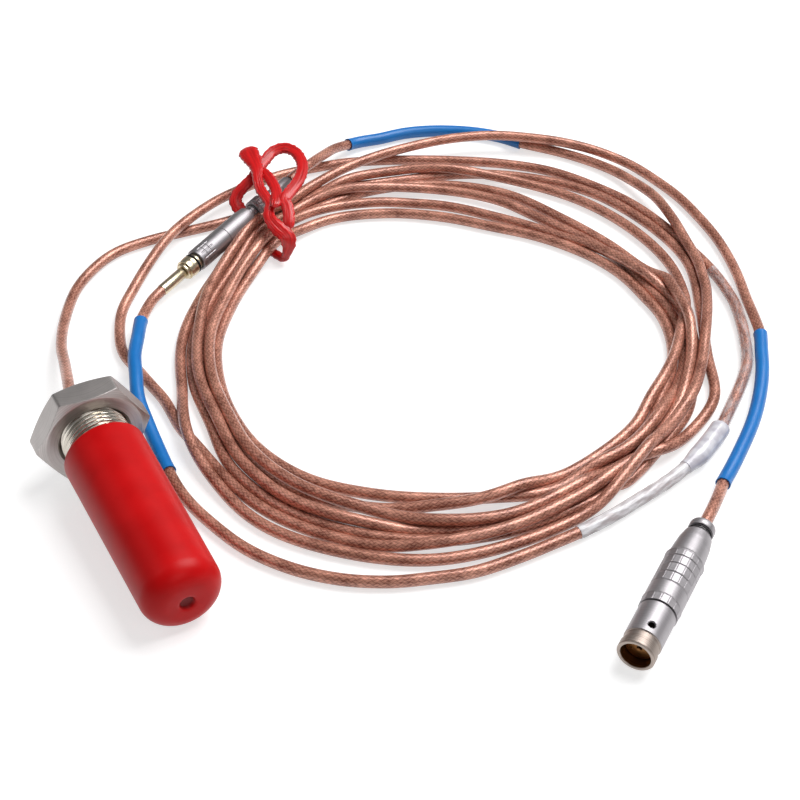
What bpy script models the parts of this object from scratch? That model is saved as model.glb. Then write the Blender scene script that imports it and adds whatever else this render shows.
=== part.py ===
"""Eddy current sensor: threaded probe with lock nut and cap, coiled cable, inline and end connector.

The probe lies on the ground plane with its axis in the YZ plane, tip towards -Y. It rests on one flat of
the lock nut and on the round edge of its cap, so its axis dips towards the tip. Metres, +Z up.
"""
import bpy
import bmesh
from math import asin, atan2, cos, exp, hypot, pi, radians, sin, sqrt, tan
from mathutils import Vector

MM = 0.001
GAP = 0.3 * MM                    # clearance between touching pieces
SIDES = 40                        # facets round a large turned piece
FINE_SIDES = 24                   # facets round a small turned piece
PIN_SIDES = 12

# Probe, measured along its axis from the plane of the lock nut's front corners, forward positive
THREAD_D = 20.0 * MM
CASE_WALL = 1.6 * MM
CASE_FRONT = 56.0 * MM
CASE_BEHIND_NUT = 2.5 * MM
REAR_WALL = 3.0 * MM
CABLE_HOLE_D = 4.2 * MM
THREAD_CHAMFER = 0.8 * MM

# Sensing tip, bobbin and winding inside the front of the case
TIP_WALL = 1.5 * MM
TIP_SKIRT = 11.0 * MM
TIP_FLANGE = 1.5 * MM
FORMER_FLANGE = 1.2 * MM
FORMER_CORE_WALL = 1.2 * MM
WINDING_W = 4.5 * MM
WINDING_DEPTH = 2.2 * MM
WINDING_INSET = 0.4 * MM          # from the flanges' edge in to the winding

# Ferrule where the cable leaves the rear of the case
FERRULE_D = 6.0 * MM
FERRULE_L = 3.4 * MM
FERRULE_SPIGOT = 1.8 * MM

# Lock nut
NUT_AF = 30.0 * MM
NUT_CORNER_SPAN = 5.7 * MM
NUT_CHAMFER_IN = 0.7 * MM         # from a flat in to the edge of the chamfer
NUT_CHAMFER_DEG = 20.0
NUT_THREAD_CLEAR = 0.3 * MM
NUT_BORE_CHAMFER = 0.8 * MM

# Protective cap
CAP_OPEN = 8.5 * MM
CAP_NOSE_ROOM = 7.7 * MM          # from the tip's face to the cap's end wall
CAP_WALL = 1.8 * MM               # at the mouth
CAP_TAPER = 0.0109                # radius lost per length
CAP_CORNER = 6.0 * MM
CAP_INNER_CORNER = 3.0 * MM
CAP_END_WALL = 3.6 * MM
CAP_LIP = 0.6 * MM
VENT_D = 4.5 * MM
VENT_DEPTH = 1.2 * MM

# Cable and what covers it
CABLE_D = 3.55 * MM
BLUE_D = 4.3 * MM
LOOSE_CLEAR_D = 3.9 * MM
WIDE_CLEAR_D = 6.2 * MM
TIGHT_CLEAR_D = 4.0 * MM
TIE_T = 1.9 * MM
TIE_EDGE = 0.45 * MM
TIE_STEP = 3.0 * MM
TIE_FACE = (-0.25, -0.5, 0.8)       # the way the tie's flat side faces
SPLINE_STEP = 12.0 * MM
END_SEGMENT = 0.6 * MM
CURVE_STEPS = 12

# Coil of turns
COIL_CENTRE = (114.0 * MM, 31.0 * MM)
COIL_HEIGHT = 7.2 * MM
COIL_EDGE = 1.6 * MM
TIE_ANGLE = 108.0                 # degrees round the coil where the tie holds it
TIE_LIFT = 3.4 * MM
TIE_SPREAD = 9.0                  # degrees over which the tie lifts the turns
COIL_STATION = 7.5                # degrees between sections
# Inner and outer edge of the turns every 15 degrees, in mm from the centre, starting on the +X side
COIL_EDGES = ((72, 96), (70, 101), (68, 104), (67, 104), (68, 101), (71, 97), (76, 90), (74, 85),
              (71, 83), (68, 82), (68, 81), (69, 82), (71, 82), (73, 90), (72, 97), (69, 98),
              (68, 94), (68, 90), (68, 86), (67, 84), (68, 86), (70, 89), (73, 88), (73, 88))

# Inline connector, measured along its axis from the end of the crimp ferrule
INLINE_START = (47 * MM, 96.4 * MM, 4.4 * MM)
INLINE_TOWARDS = (108.3 * MM, 127.0 * MM, 11.0 * MM)
CRIMP_D = 3.9 * MM
CRIMP_L = 10.8 * MM
COLLAR_D = 6.9 * MM
COLLAR_STEP_L = 1.0 * MM
COLLAR_L = 4.6 * MM
SPIGOT_REACH = 4.0 * MM           # of the collar inside the latch sleeve
INLINE_D = 7.6 * MM
SLEEVE_TRAVEL = 1.0 * MM
RING_T = 0.9 * MM
LATCH_L = 27.4 * MM
LATCH_WALL = 0.7 * MM
LATCH_TAPER_L = 4.0 * MM
LATCH_TAPER = 0.4 * MM            # radius lost at the latch sleeve's front
BODY_CLEAR = 0.4 * MM             # between the latch sleeve and the body inside
BODY_SETBACK = 5.0 * MM           # of the insulator from the latch sleeve's front
PIN_REACH = 3.0 * MM
SOCKET_CUP = 6.0 * MM
NECK_L = 3.0 * MM
NECK_D = 5.0 * MM
NECK_TAIL = 2.0 * MM              # of the neck beyond the socket nut
NUT_RING_L = 5.0 * MM
NUT_RING_D = 7.2 * MM
SOCKET_L = 15.0 * MM
SOCKET_D = 4.4 * MM
PIN_D = 0.9 * MM

# End connector, measured along its axis from the collet end ring
END_START = (138.1 * MM, -77.1 * MM, 5.95 * MM)
END_TOWARDS = (93.8 * MM, -107.5 * MM, 5.95 * MM)
COLLET_L = 2.6 * MM
COLLET_D = 7.5 * MM
COLLET_EDGE = 0.4 * MM
END_RING_INSET = 0.3 * MM
COLLET_SPIGOT_D = 5.6 * MM
COLLET_SPIGOT_L = 5.0 * MM
END_RING_T = 0.9 * MM
SHELL_BACK_L = 12.0 * MM
SHELL_BACK_D = 7.6 * MM
SHELL_D = 11.3 * MM
SHELL_L = 31.1 * MM
SHELL_WALL = 0.9 * MM
BARREL_L = 10.9 * MM
BARREL_D = 10.4 * MM
BARREL_WALL = 1.1 * MM
BARREL_TAIL_L = 8.0 * MM
STEP_L = 2.4 * MM
STEP_D = 9.7 * MM
RIM_L = 2.6 * MM
RIM_D = 10.4 * MM
BORE_DEPTH = 7.0 * MM
INSERT_L = 4.0 * MM
CONTACT_L = 4.6 * MM

# Route of the probe's cable from its ferrule to the coil, in mm
PROBE_TO_COIL = ((0, 48, 15.4), (2, 57, 13), (5, 70, 9), (8, 83, 6), (14, 98, 3.2), (23, 113, 2.1),
                 (33, 122, 2.1), (43, 127, 2.1), (55, 128, 2.1), (68, 127, 2.1), (80, 126, 2.1),
                 (92, 126, 2.1), (104, 127, 2.1), (114, 127, 2.1), (122, 126, 2.1))
# The probe's cable from the coil to the plug; each stretch starts where the one before it ends
PROBE_FROM_COIL = ((28, 30, 2.1), (28, 40, 2.1), (28, 48, 2.1), (27, 56, 2.1), (26, 65, 2.1),
                   (25, 74, 2.1), (27, 83, 2.2), (32, 94, 2.8), (40, 103, 4), (48, 111, 5.2),
                   (58, 120, 6.1), (68, 127, 6.1), (83, 135, 5.2), (98, 140, 4.0), (112, 143, 2.6),
                   (126, 142, 2.1), (139, 139, 2.1), (155, 132, 2.1), (171, 123, 2.1), (187, 112, 2.1),
                   (200, 99, 2.1), (209, 82, 2.1), (214, 67, 2.1), (216, 50, 2.1), (216, 36, 2.1),
                   (215, 22, 2.2))
LOOSE_CLEAR = ((212, 8, 2.3), (208, -2, 2.3), (202, -13, 2.3), (195, -23, 2.3), (186, -31, 2.3),
               (177, -38, 2.5), (169, -44, 3.2))
WIDE_CLEAR = ((162, -48, 3.4), (156, -51, 3.4), (150, -53, 3.2))
TIGHT_CLEAR = ((142, -55, 2.5), (131, -57, 2.4), (120, -59, 2.4), (108, -60, 2.4))
PROBE_LOWER = ((101, -60, 2.2), (90, -60, 2.1), (76, -59, 2.1), (63, -55, 2.1),
               (53, -51, 2.1), (42, -44, 2.1), (32, -34, 2.1), (24, -21, 2.1), (19, -5, 2.1), (17, 6, 2.4))
BLUE_AT_PLUG = ((17, 16, 2.6), (18, 28, 2.8), (19, 39, 4.2), (20, 48, 6.0),
                (23, 57, 6.9), (26, 66, 6.9), (31, 76, 6.0), (35, 84, 5.0))
PLUG_LEAD = ((40, 90.6, 4.4), (43, 93.8, 4.2))
# The extension cable from the socket, over the probe's cable, to the coil
SOCKET_LEAD = ((120, 134, 10.4), (128, 140, 8.2), (135, 145, 6.0), (142, 148, 3.8))
BLUE_AT_SOCKET = ((148, 149, 2.8), (155, 148, 2.5), (165, 147, 2.5), (176, 143, 2.5),
                  (187, 136, 2.5), (195, 128, 2.5), (200, 120, 2.5))
EXTENSION_IN = ((208, 111, 2.1), (214, 102, 2.1), (219, 91, 2.4), (221, 79, 3.4),
                (221, 65, 5), (218, 51, 6.1), (215, 39, 6.2), (212, 28, 6.2), (208, 19, 6.1),
                (203, 10, 5.4))
# The extension cable from the coil to the end connector
EXTENSION_OUT = ((97, 119, 5.8), (104, 121, 6.0), (114, 126, 6.2), (125, 130, 6.2), (136, 132, 6.2),
                 (150, 133, 6.2), (165, 132, 6.3), (177, 129, 6.8), (190, 124, 6.8), (201, 117, 6.4),
                 (211, 109, 5.8), (220, 100, 4.4), (227, 89, 2.8), (230, 77, 2.1), (231, 64, 2.1),
                 (230, 51, 2.1), (228, 38, 2.1), (225, 27, 2.1), (221, 16, 2.1), (216, 5, 2.2),
                 (211, -6, 3.0), (207, -14, 3.5))
BLUE_AT_END = ((202, -21, 3.5), (197, -28, 3.3), (191, -35, 2.9), (184, -42, 2.6),
               (177, -48, 2.5), (169, -54, 2.5), (162, -59, 2.5), (156, -63, 2.6))
END_LEAD = ((151.5, -66.8, 3.4), (147, -70.5, 4.7), (142.5, -74, 5.7))
# The tie: its wide end, crossing, under the turns and the neck, back to the crossing, open loop and tail
TIE_ROUTE = ((98, 140.5, 19.3), (97, 133, 19.3), (95.5, 126, 19), (93.5, 121.5, 17.8), (93, 117, 16.6),
             (94, 111, 15.4), (92.5, 107, 14.4), (92, 102.5, 13), (92.5, 98, 11.5), (92.5, 95.5, 8.5),
             (91.8, 95.3, 5), (91.2, 96.8, 2.3), (90.2, 100.5, 1.6), (89, 106, 1.5), (88, 111, 1.6),
             (87.5, 114.5, 2), (88, 118, 3.2), (88.2, 121, 4.8), (87.3, 124, 7), (86.8, 126, 9),
             (88.2, 127.2, 11), (91, 127.4, 13.3), (94.5, 128.3, 14.9), (98, 130.8, 16.2), (102, 133.5, 17.4),
             (106.5, 135.8, 18.6), (111, 135, 19.5), (113, 130.5, 19.5), (112.3, 124.5, 19.2),
             (110, 119.5, 18.9), (106, 114.5, 18.6), (101.7, 110.7, 18.2), (97, 109, 17.8), (97, 106, 16.6),
             (97, 103, 15.2), (96, 100.3, 13.8))
TIE_WIDTHS = (5.4, 4.4, 3.2, 3.2, 3.0, 3.0, 3.4, 3.6, 3.2, 3.0, 3.0, 3.0, 3.0, 3.0)
# The short strand of the tie beside the crossings
TIE_STRAND = ((98.3, 123.5, 17.8), (98.8, 119.4, 17.9), (98.2, 114.2, 17.7))
TIE_STRAND_WIDTHS = (2.6, 2.8, 2.6)

COLOURS = {
    "steel": ((0.60, 0.60, 0.61), 1.0, 0.28), "nut_steel": ((0.58, 0.58, 0.58), 1.0, 0.30),
    "satin_chrome": ((0.66, 0.65, 0.67), 1.0, 0.35), "gold": ((0.72, 0.62, 0.42), 1.0, 0.25),
    "brass": ((0.55, 0.40, 0.25), 1.0, 0.30), "copper_cable": ((0.62, 0.30, 0.20), 0.3, 0.35),
    "winding": ((0.55, 0.22, 0.08), 1.0, 0.35), "blue_sleeve": ((0.02, 0.20, 0.60), 0.0, 0.40),
    "clear_sleeve": ((0.78, 0.78, 0.80), 0.0, 0.25), "red_cap": ((0.55, 0.01, 0.01), 0.0, 0.45),
    "red_tie": ((0.70, 0.01, 0.01), 0.0, 0.35), "black_ring": ((0.02, 0.02, 0.02), 0.0, 0.55),
    "white_insulator": ((0.75, 0.74, 0.70), 0.0, 0.45), "tip_plastic": ((0.62, 0.58, 0.48), 0.0, 0.50),
    "potting": ((0.05, 0.05, 0.06), 0.0, 0.60),
}


def clear_scene():
    for thing in list(bpy.data.objects):
        bpy.data.objects.remove(thing, do_unlink=True)


def material(key):
    """A Principled material from the colour table."""
    found = bpy.data.materials.get(key)
    if found:
        return found
    colour, metallic, roughness = COLOURS[key]
    made = bpy.data.materials.new(key)
    made.use_nodes = True
    shader = made.node_tree.nodes["Principled BSDF"]
    shader.inputs["Base Color"].default_value = (*colour, 1.0)
    shader.inputs["Metallic"].default_value = metallic
    shader.inputs["Roughness"].default_value = roughness
    return made


def place(name, data, key, parent=None):
    """Links an object, gives it its material and hangs it on its axis empty."""
    thing = bpy.data.objects.new(name, data)
    bpy.context.scene.collection.objects.link(thing)
    if key:
        data.materials.append(material(key))
    thing.parent = parent
    return thing


def axis_empty(name, position, direction):
    """An empty whose +Z lies along a direction, for pieces turned about one axis."""
    empty = place(name, None, None)
    empty.location = position
    empty.rotation_mode = "QUATERNION"
    empty.rotation_quaternion = Vector(direction).to_track_quat("Z", "Y")
    return empty


def turned_mesh(name, profile, sides):
    """A closed body spun about Z from a closed outline of (radius, height) points."""
    mesh = bpy.data.meshes.new(name)
    shape = bmesh.new()
    corners = [shape.verts.new((radius, 0, height)) for radius, height in profile]
    edges = [shape.edges.new((corners[i - 1], corners[i])) for i in range(len(corners))]
    bmesh.ops.spin(shape, geom=corners + edges, cent=(0, 0, 0), axis=(0, 0, 1), angle=2 * pi, steps=sides)
    bmesh.ops.remove_doubles(shape, verts=shape.verts, dist=0.001 * MM)
    bmesh.ops.dissolve_degenerate(shape, edges=shape.edges, dist=0.0001 * MM)
    bmesh.ops.recalc_face_normals(shape, faces=shape.faces)
    shape.to_mesh(mesh)
    shape.free()
    mesh.shade_smooth()
    mesh.set_sharp_from_angle(angle=radians(35))
    return mesh


def turned(name, profile, key, parent, sides=SIDES):
    return place(name, turned_mesh(name, profile, sides), key, parent)


def arc(centre_r, centre_z, radius, start, end, steps):
    """Points on an arc in the (radius, height) plane; angles in degrees from the radius direction."""
    points = []
    for i in range(steps + 1):
        angle = radians(start + (end - start) * i / steps)
        points.append((centre_r + radius * cos(angle), centre_z + radius * sin(angle)))
    return points


def cutter(name, data, target, operation, parent):
    """A hidden guide that a Boolean cuts from, or keeps of, the target."""
    guide = place(name, data, None, parent)
    guide.hide_render = True
    guide.display_type = "WIRE"
    cut = target.modifiers.new(operation.lower(), "BOOLEAN")
    cut.operation = operation
    cut.solver = "EXACT"
    cut.object = guide
    return guide


def probe_pose():
    """Dip of the axis, and the place of its zero plane, with nut and cap both on the ground."""
    flat = NUT_AF / 2
    nut_at = NUT_FACE - (flat - NUT_CHAMFER_R) * tan(radians(NUT_CHAMFER_DEG))
    along = CAP_END - CAP_CORNER - nut_at
    across = flat - (CAP_END_R - CAP_CORNER)
    dip = atan2(across, along) - asin(CAP_CORNER / hypot(along, across))
    front = (CAP_END - CAP_CORNER) * cos(dip) + (CAP_END_R - CAP_CORNER) * sin(dip) + CAP_CORNER
    rear = -(FERRULE_REAR * cos(dip) - FERRULE_D / 2 * sin(dip))
    height = flat * cos(dip) + nut_at * sin(dip)
    return dip, Vector((0, (front - rear) / 2, height))


NUT_CHAMFER_R = NUT_AF / 2 - NUT_CHAMFER_IN
NUT_CORNER_DROP = (NUT_AF / sqrt(3) - NUT_CHAMFER_R) * tan(radians(NUT_CHAMFER_DEG))
NUT_FACE = NUT_CORNER_DROP
NUT_BACK = -NUT_CORNER_SPAN - NUT_CORNER_DROP
CASE_REAR = NUT_BACK - CASE_BEHIND_NUT
CASE_BORE_R = THREAD_D / 2 - CASE_WALL
WINDING_R = CASE_BORE_R - GAP - TIP_WALL - GAP - WINDING_INSET
FERRULE_REAR = CASE_REAR - FERRULE_L
CAP_END = CASE_FRONT + GAP + TIP_FLANGE + CAP_NOSE_ROOM + CAP_END_WALL
CAP_R = THREAD_D / 2 + GAP + CAP_WALL
CAP_END_R = CAP_R - CAP_TAPER * (CAP_END - CAP_OPEN - CAP_CORNER)
COLLAR_STEP_R = INLINE_D / 2 - LATCH_WALL - GAP
INLINE_BODY_R = INLINE_D / 2 - LATCH_WALL - BODY_CLEAR
TIP_REAR = CASE_FRONT - TIP_SKIRT
INLINE_DIRECTION = (Vector(INLINE_TOWARDS) - Vector(INLINE_START)).normalized()
END_DIRECTION = (Vector(END_TOWARDS) - Vector(END_START)).normalized()


def probe_case(axis):
    """Steel tube, closed at the rear but for the cable hole, open at the front."""
    outer = THREAD_D / 2
    hole = CABLE_HOLE_D / 2
    floor = CASE_REAR + REAR_WALL
    profile = [(hole, CASE_REAR), (outer - THREAD_CHAMFER, CASE_REAR), (outer, CASE_REAR + THREAD_CHAMFER),
               (outer, CASE_FRONT - THREAD_CHAMFER), (outer - THREAD_CHAMFER, CASE_FRONT),
               (CASE_BORE_R, CASE_FRONT), (CASE_BORE_R, floor), (hole, floor)]
    return turned("probe_case", profile, "steel", axis)


def probe_tip(axis):
    """Insulating cup: a skirt in the case's bore and a flange over its front edge."""
    skirt = CASE_BORE_R - GAP
    inside = skirt - TIP_WALL
    seat = CASE_FRONT + GAP
    profile = [(inside, TIP_REAR), (skirt, TIP_REAR), (skirt, seat), (THREAD_D / 2 - THREAD_CHAMFER, seat),
               (THREAD_D / 2 - THREAD_CHAMFER, seat + TIP_FLANGE), (0, seat + TIP_FLANGE),
               (0, seat + TIP_FLANGE - TIP_WALL), (inside, seat + TIP_FLANGE - TIP_WALL)]
    return turned("probe_tip", profile, "tip_plastic", axis)


def coil_former(axis):
    """Bobbin behind the sensing face, with a hole through its core."""
    front = CASE_FRONT + GAP + TIP_FLANGE - TIP_WALL - GAP
    rear = front - WINDING_W - 2 * FORMER_FLANGE
    rim = WINDING_R + WINDING_INSET
    core = WINDING_R - WINDING_DEPTH - GAP
    hole = core - FORMER_CORE_WALL
    profile = [(hole, rear), (rim, rear), (rim, rear + FORMER_FLANGE), (core, rear + FORMER_FLANGE),
               (core, front - FORMER_FLANGE), (rim, front - FORMER_FLANGE), (rim, front), (hole, front)]
    return turned("coil_former", profile, "white_insulator", axis, FINE_SIDES)


def coil_winding(axis):
    """Copper winding between the bobbin's flanges."""
    front = CASE_FRONT + TIP_FLANGE - TIP_WALL - FORMER_FLANGE - GAP
    rear = front - WINDING_W + 2 * GAP
    inner = WINDING_R - WINDING_DEPTH
    profile = [(inner, rear), (WINDING_R, rear), (WINDING_R, front), (inner, front)]
    return turned("coil_winding", profile, "winding", axis, FINE_SIDES)


def potting(axis):
    """Resin that fills the case from its rear wall to the tip's skirt."""
    reach = CASE_BORE_R - GAP
    profile = [(0, CASE_REAR + REAR_WALL + GAP), (reach, CASE_REAR + REAR_WALL + GAP),
               (reach, TIP_REAR - GAP), (0, TIP_REAR - GAP)]
    return turned("potting", profile, "potting", axis, FINE_SIDES)


def cable_ferrule(axis):
    """Collar on the cable behind the case, with a spigot in the case's cable hole."""
    spigot = CABLE_HOLE_D / 2 - GAP
    rim = FERRULE_D / 2
    seat = CASE_REAR - GAP
    profile = [(0, FERRULE_REAR), (rim, FERRULE_REAR), (rim, seat), (spigot, seat),
               (spigot, seat + FERRULE_SPIGOT), (0, seat + FERRULE_SPIGOT)]
    return turned("cable_ferrule", profile, "steel", axis, FINE_SIDES)


def lock_nut(axis):
    """Hexagon nut, a flat up and a flat down, with both faces chamfered and a bore for the thread."""
    corner = NUT_AF / sqrt(3)
    outline = [(corner, NUT_BACK), (corner, NUT_FACE), (0, NUT_FACE), (0, NUT_BACK)]
    nut = turned("lock_nut", outline, "nut_steel", axis, 6)
    slope = tan(radians(NUT_CHAMFER_DEG))
    reach = corner + MM
    drop = (reach - NUT_CHAMFER_R) * slope
    rounded = [(0, NUT_BACK - MM), (NUT_CHAMFER_R - MM / slope, NUT_BACK - MM), (reach, NUT_BACK + drop),
               (reach, NUT_FACE - drop), (NUT_CHAMFER_R - MM / slope, NUT_FACE + MM), (0, NUT_FACE + MM)]
    cutter("nut_chamfer_guide", turned_mesh("nut_chamfer_guide", rounded, 96), nut, "INTERSECT", axis)
    bore = THREAD_D / 2 + NUT_THREAD_CLEAR
    entry = NUT_BORE_CHAMFER
    hole = [(0, NUT_BACK - MM), (bore + entry + MM, NUT_BACK - MM), (bore, NUT_BACK + entry),
            (bore, NUT_FACE - entry), (bore + entry + MM, NUT_FACE + MM), (0, NUT_FACE + MM)]
    cutter("nut_bore_guide", turned_mesh("nut_bore_guide", hole, SIDES), nut, "DIFFERENCE", axis)
    return nut


def protective_cap(axis):
    """Soft cap over the probe's front, tapering to a round end with a shallow vent dimple."""
    bore = THREAD_D / 2 + GAP
    vent = VENT_D / 2
    inner_end = CAP_END - CAP_END_WALL
    inner_r = CAP_INNER_CORNER
    profile = [(bore, CAP_OPEN + CAP_LIP), (bore + CAP_LIP, CAP_OPEN), (CAP_R - CAP_LIP, CAP_OPEN),
               (CAP_R, CAP_OPEN + CAP_LIP)]
    profile += arc(CAP_END_R - CAP_CORNER, CAP_END - CAP_CORNER, CAP_CORNER, 0, 90, 9)
    profile += [(vent, CAP_END), (vent - VENT_DEPTH / 2, CAP_END - VENT_DEPTH), (0, CAP_END - VENT_DEPTH),
                (0, inner_end)]
    profile += arc(bore - inner_r, inner_end - inner_r, inner_r, 90, 0, 3)
    return turned("protective_cap", profile, "red_cap", axis)


def smooth_curve(route, start_direction, end_direction):
    """Closely spaced points on a smooth curve through a route, their lengths, and the length at each knot."""
    knots = [Vector(point) * MM for point in route]
    first = (knots[1] - knots[0]).length
    last = (knots[-1] - knots[-2]).length
    before = knots[1] - 2 * first * (start_direction or (knots[1] - knots[0]).normalized())
    after = knots[-2] + 2 * last * (end_direction or (knots[-1] - knots[-2]).normalized())
    padded = [before, *knots, after]
    dense = []
    for i in range(len(knots) - 1):
        p0, p1, p2, p3 = padded[i:i + 4]
        for k in range(CURVE_STEPS):
            t = k / CURVE_STEPS
            dense.append(0.5 * (2 * p1 + (p2 - p0) * t + (2 * p0 - 5 * p1 + 4 * p2 - p3) * t ** 2
                                + (3 * p1 - p0 - 3 * p2 + p3) * t ** 3))
    dense.append(knots[-1])
    lengths = [0.0]
    for i in range(1, len(dense)):
        lengths.append(lengths[-1] + (dense[i] - dense[i - 1]).length)
    return dense, lengths, lengths[::CURVE_STEPS]


def point_at(dense, lengths, want):
    at = max(j for j in range(len(dense) - 1) if lengths[j] <= want)
    share = (want - lengths[at]) / (lengths[at + 1] - lengths[at])
    return dense[at].lerp(dense[at + 1], share)


def tube(name, points, diameter, key):
    """A round cable or sleeve along its points, with flat ends."""
    curve = bpy.data.curves.new(name, "CURVE")
    curve.dimensions = "3D"
    curve.resolution_u = 1
    curve.render_resolution_u = 0
    curve.bevel_depth = diameter / 2
    curve.bevel_resolution = 2
    curve.use_fill_caps = True
    spline = curve.splines.new("POLY")
    spline.points.add(len(points) - 1)
    for spot, point in zip(spline.points, points):
        spot.co = (*point, 1)
    return place(name, curve, key)


def cable_run(start, stretches, start_direction=None, end_direction=None, step=SPLINE_STEP):
    """Tubes end to end along one smooth curve. A stretch is a name, its route, a diameter and a material.

    A short first and last segment squares each end to the curve, so neighbours meet face to face.
    """
    route = [start]
    ends = [0]
    for _, points, _, _ in stretches:
        route += points
        ends.append(len(route) - 1)
    dense, lengths, at_knot = smooth_curve(route, start_direction, end_direction)
    for (name, _, diameter, key), first, last in zip(stretches, ends, ends[1:]):
        low = at_knot[first] + GAP / 2
        high = at_knot[last] - GAP / 2
        count = max(1, round((high - low) / step))
        wants = [low + (high - low) * i / count for i in range(count + 1)]
        wants = [low, low + END_SEGMENT, *wants[1:-1], high - END_SEGMENT, high]
        tube(name, [point_at(dense, lengths, want) for want in wants], diameter, key)


def ribbon(name, route, widths):
    """A flat band with bevelled edges along a route, with its widths in mm at equal shares of its length."""
    dense, lengths, _ = smooth_curve(route, None, None)
    count = round(lengths[-1] / TIE_STEP)
    mesh = bpy.data.meshes.new(name)
    shape = bmesh.new()
    rings = []
    for i in range(count + 1):
        here = point_at(dense, lengths, lengths[-1] * i / count)
        before = point_at(dense, lengths, lengths[-1] * max(i - 0.5, 0) / count)
        after = point_at(dense, lengths, lengths[-1] * min(i + 0.5, count) / count)
        across = (after - before).cross(Vector(TIE_FACE)).normalized()
        upward = across.cross(after - before).normalized()
        share = i / count * (len(widths) - 1)
        low = min(int(share), len(widths) - 2)
        half = (widths[low] + (widths[low + 1] - widths[low]) * (share - low)) / 2 * MM
        flat = half - TIE_EDGE
        top = TIE_T / 2
        side = top - TIE_EDGE
        outline = [(half, side), (flat, top), (-flat, top), (-half, side),
                   (-half, -side), (-flat, -top), (flat, -top), (half, -side)]
        rings.append([shape.verts.new(here + across * x + upward * y) for x, y in outline])
    for here, there in zip(rings, rings[1:]):
        for k in range(8):
            n = (k + 1) % 8
            shape.faces.new((here[k], here[n], there[n], there[k]))
    shape.faces.new(rings[0])
    shape.faces.new(rings[-1])
    bmesh.ops.triangulate(shape, faces=shape.faces)
    bmesh.ops.recalc_face_normals(shape, faces=shape.faces)
    shape.to_mesh(mesh)
    shape.free()
    return place(name, mesh, "red_tie")


def coil_edges(angle):
    """Inner and outer radius of the turns at an angle in degrees, smooth between the listed stations."""
    spacing = 360 / len(COIL_EDGES)
    at = int(angle // spacing)
    t = angle / spacing - at
    rows = [COIL_EDGES[(at + k - 1) % len(COIL_EDGES)] for k in range(4)]
    radii = []
    for side in (0, 1):
        a, b, c, d = (row[side] * MM for row in rows)
        radii.append(0.5 * (2 * b + (c - a) * t + (2 * a - 5 * b + 4 * c - d) * t ** 2
                            + (3 * b - a - 3 * c + d) * t ** 3))
    return radii


def cable_coil():
    """The outer shape of all the turns: one flat ring that follows their inner and outer edges."""
    mesh = bpy.data.meshes.new("cable_coil")
    shape = bmesh.new()
    rings = []
    count = round(360 / COIL_STATION)
    for i in range(count):
        angle = i * 360 / count
        inner, outer = coil_edges(angle)
        lift = TIE_LIFT * exp(-((angle - TIE_ANGLE) / TIE_SPREAD) ** 2)
        low = GAP + lift
        high = COIL_HEIGHT + lift / 2
        edge = COIL_EDGE
        outline = [(inner + edge, low), (outer - edge, low), (outer, low + edge), (outer, high - edge),
                   (outer - edge, high), (inner + edge, high), (inner, high - edge), (inner, low + edge)]
        turn = radians(angle)
        rings.append([shape.verts.new((COIL_CENTRE[0] + radius * cos(turn),
                                       COIL_CENTRE[1] + radius * sin(turn), height))
                      for radius, height in outline])
    for i in range(count):
        here, there = rings[i], rings[(i + 1) % count]
        for k in range(8):
            n = (k + 1) % 8
            shape.faces.new((here[k], here[n], there[n], there[k]))
    bmesh.ops.triangulate(shape, faces=shape.faces)
    bmesh.ops.recalc_face_normals(shape, faces=shape.faces)
    shape.to_mesh(mesh)
    shape.free()
    mesh.shade_smooth()
    return place("cable_coil", mesh, "copper_cable")


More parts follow.
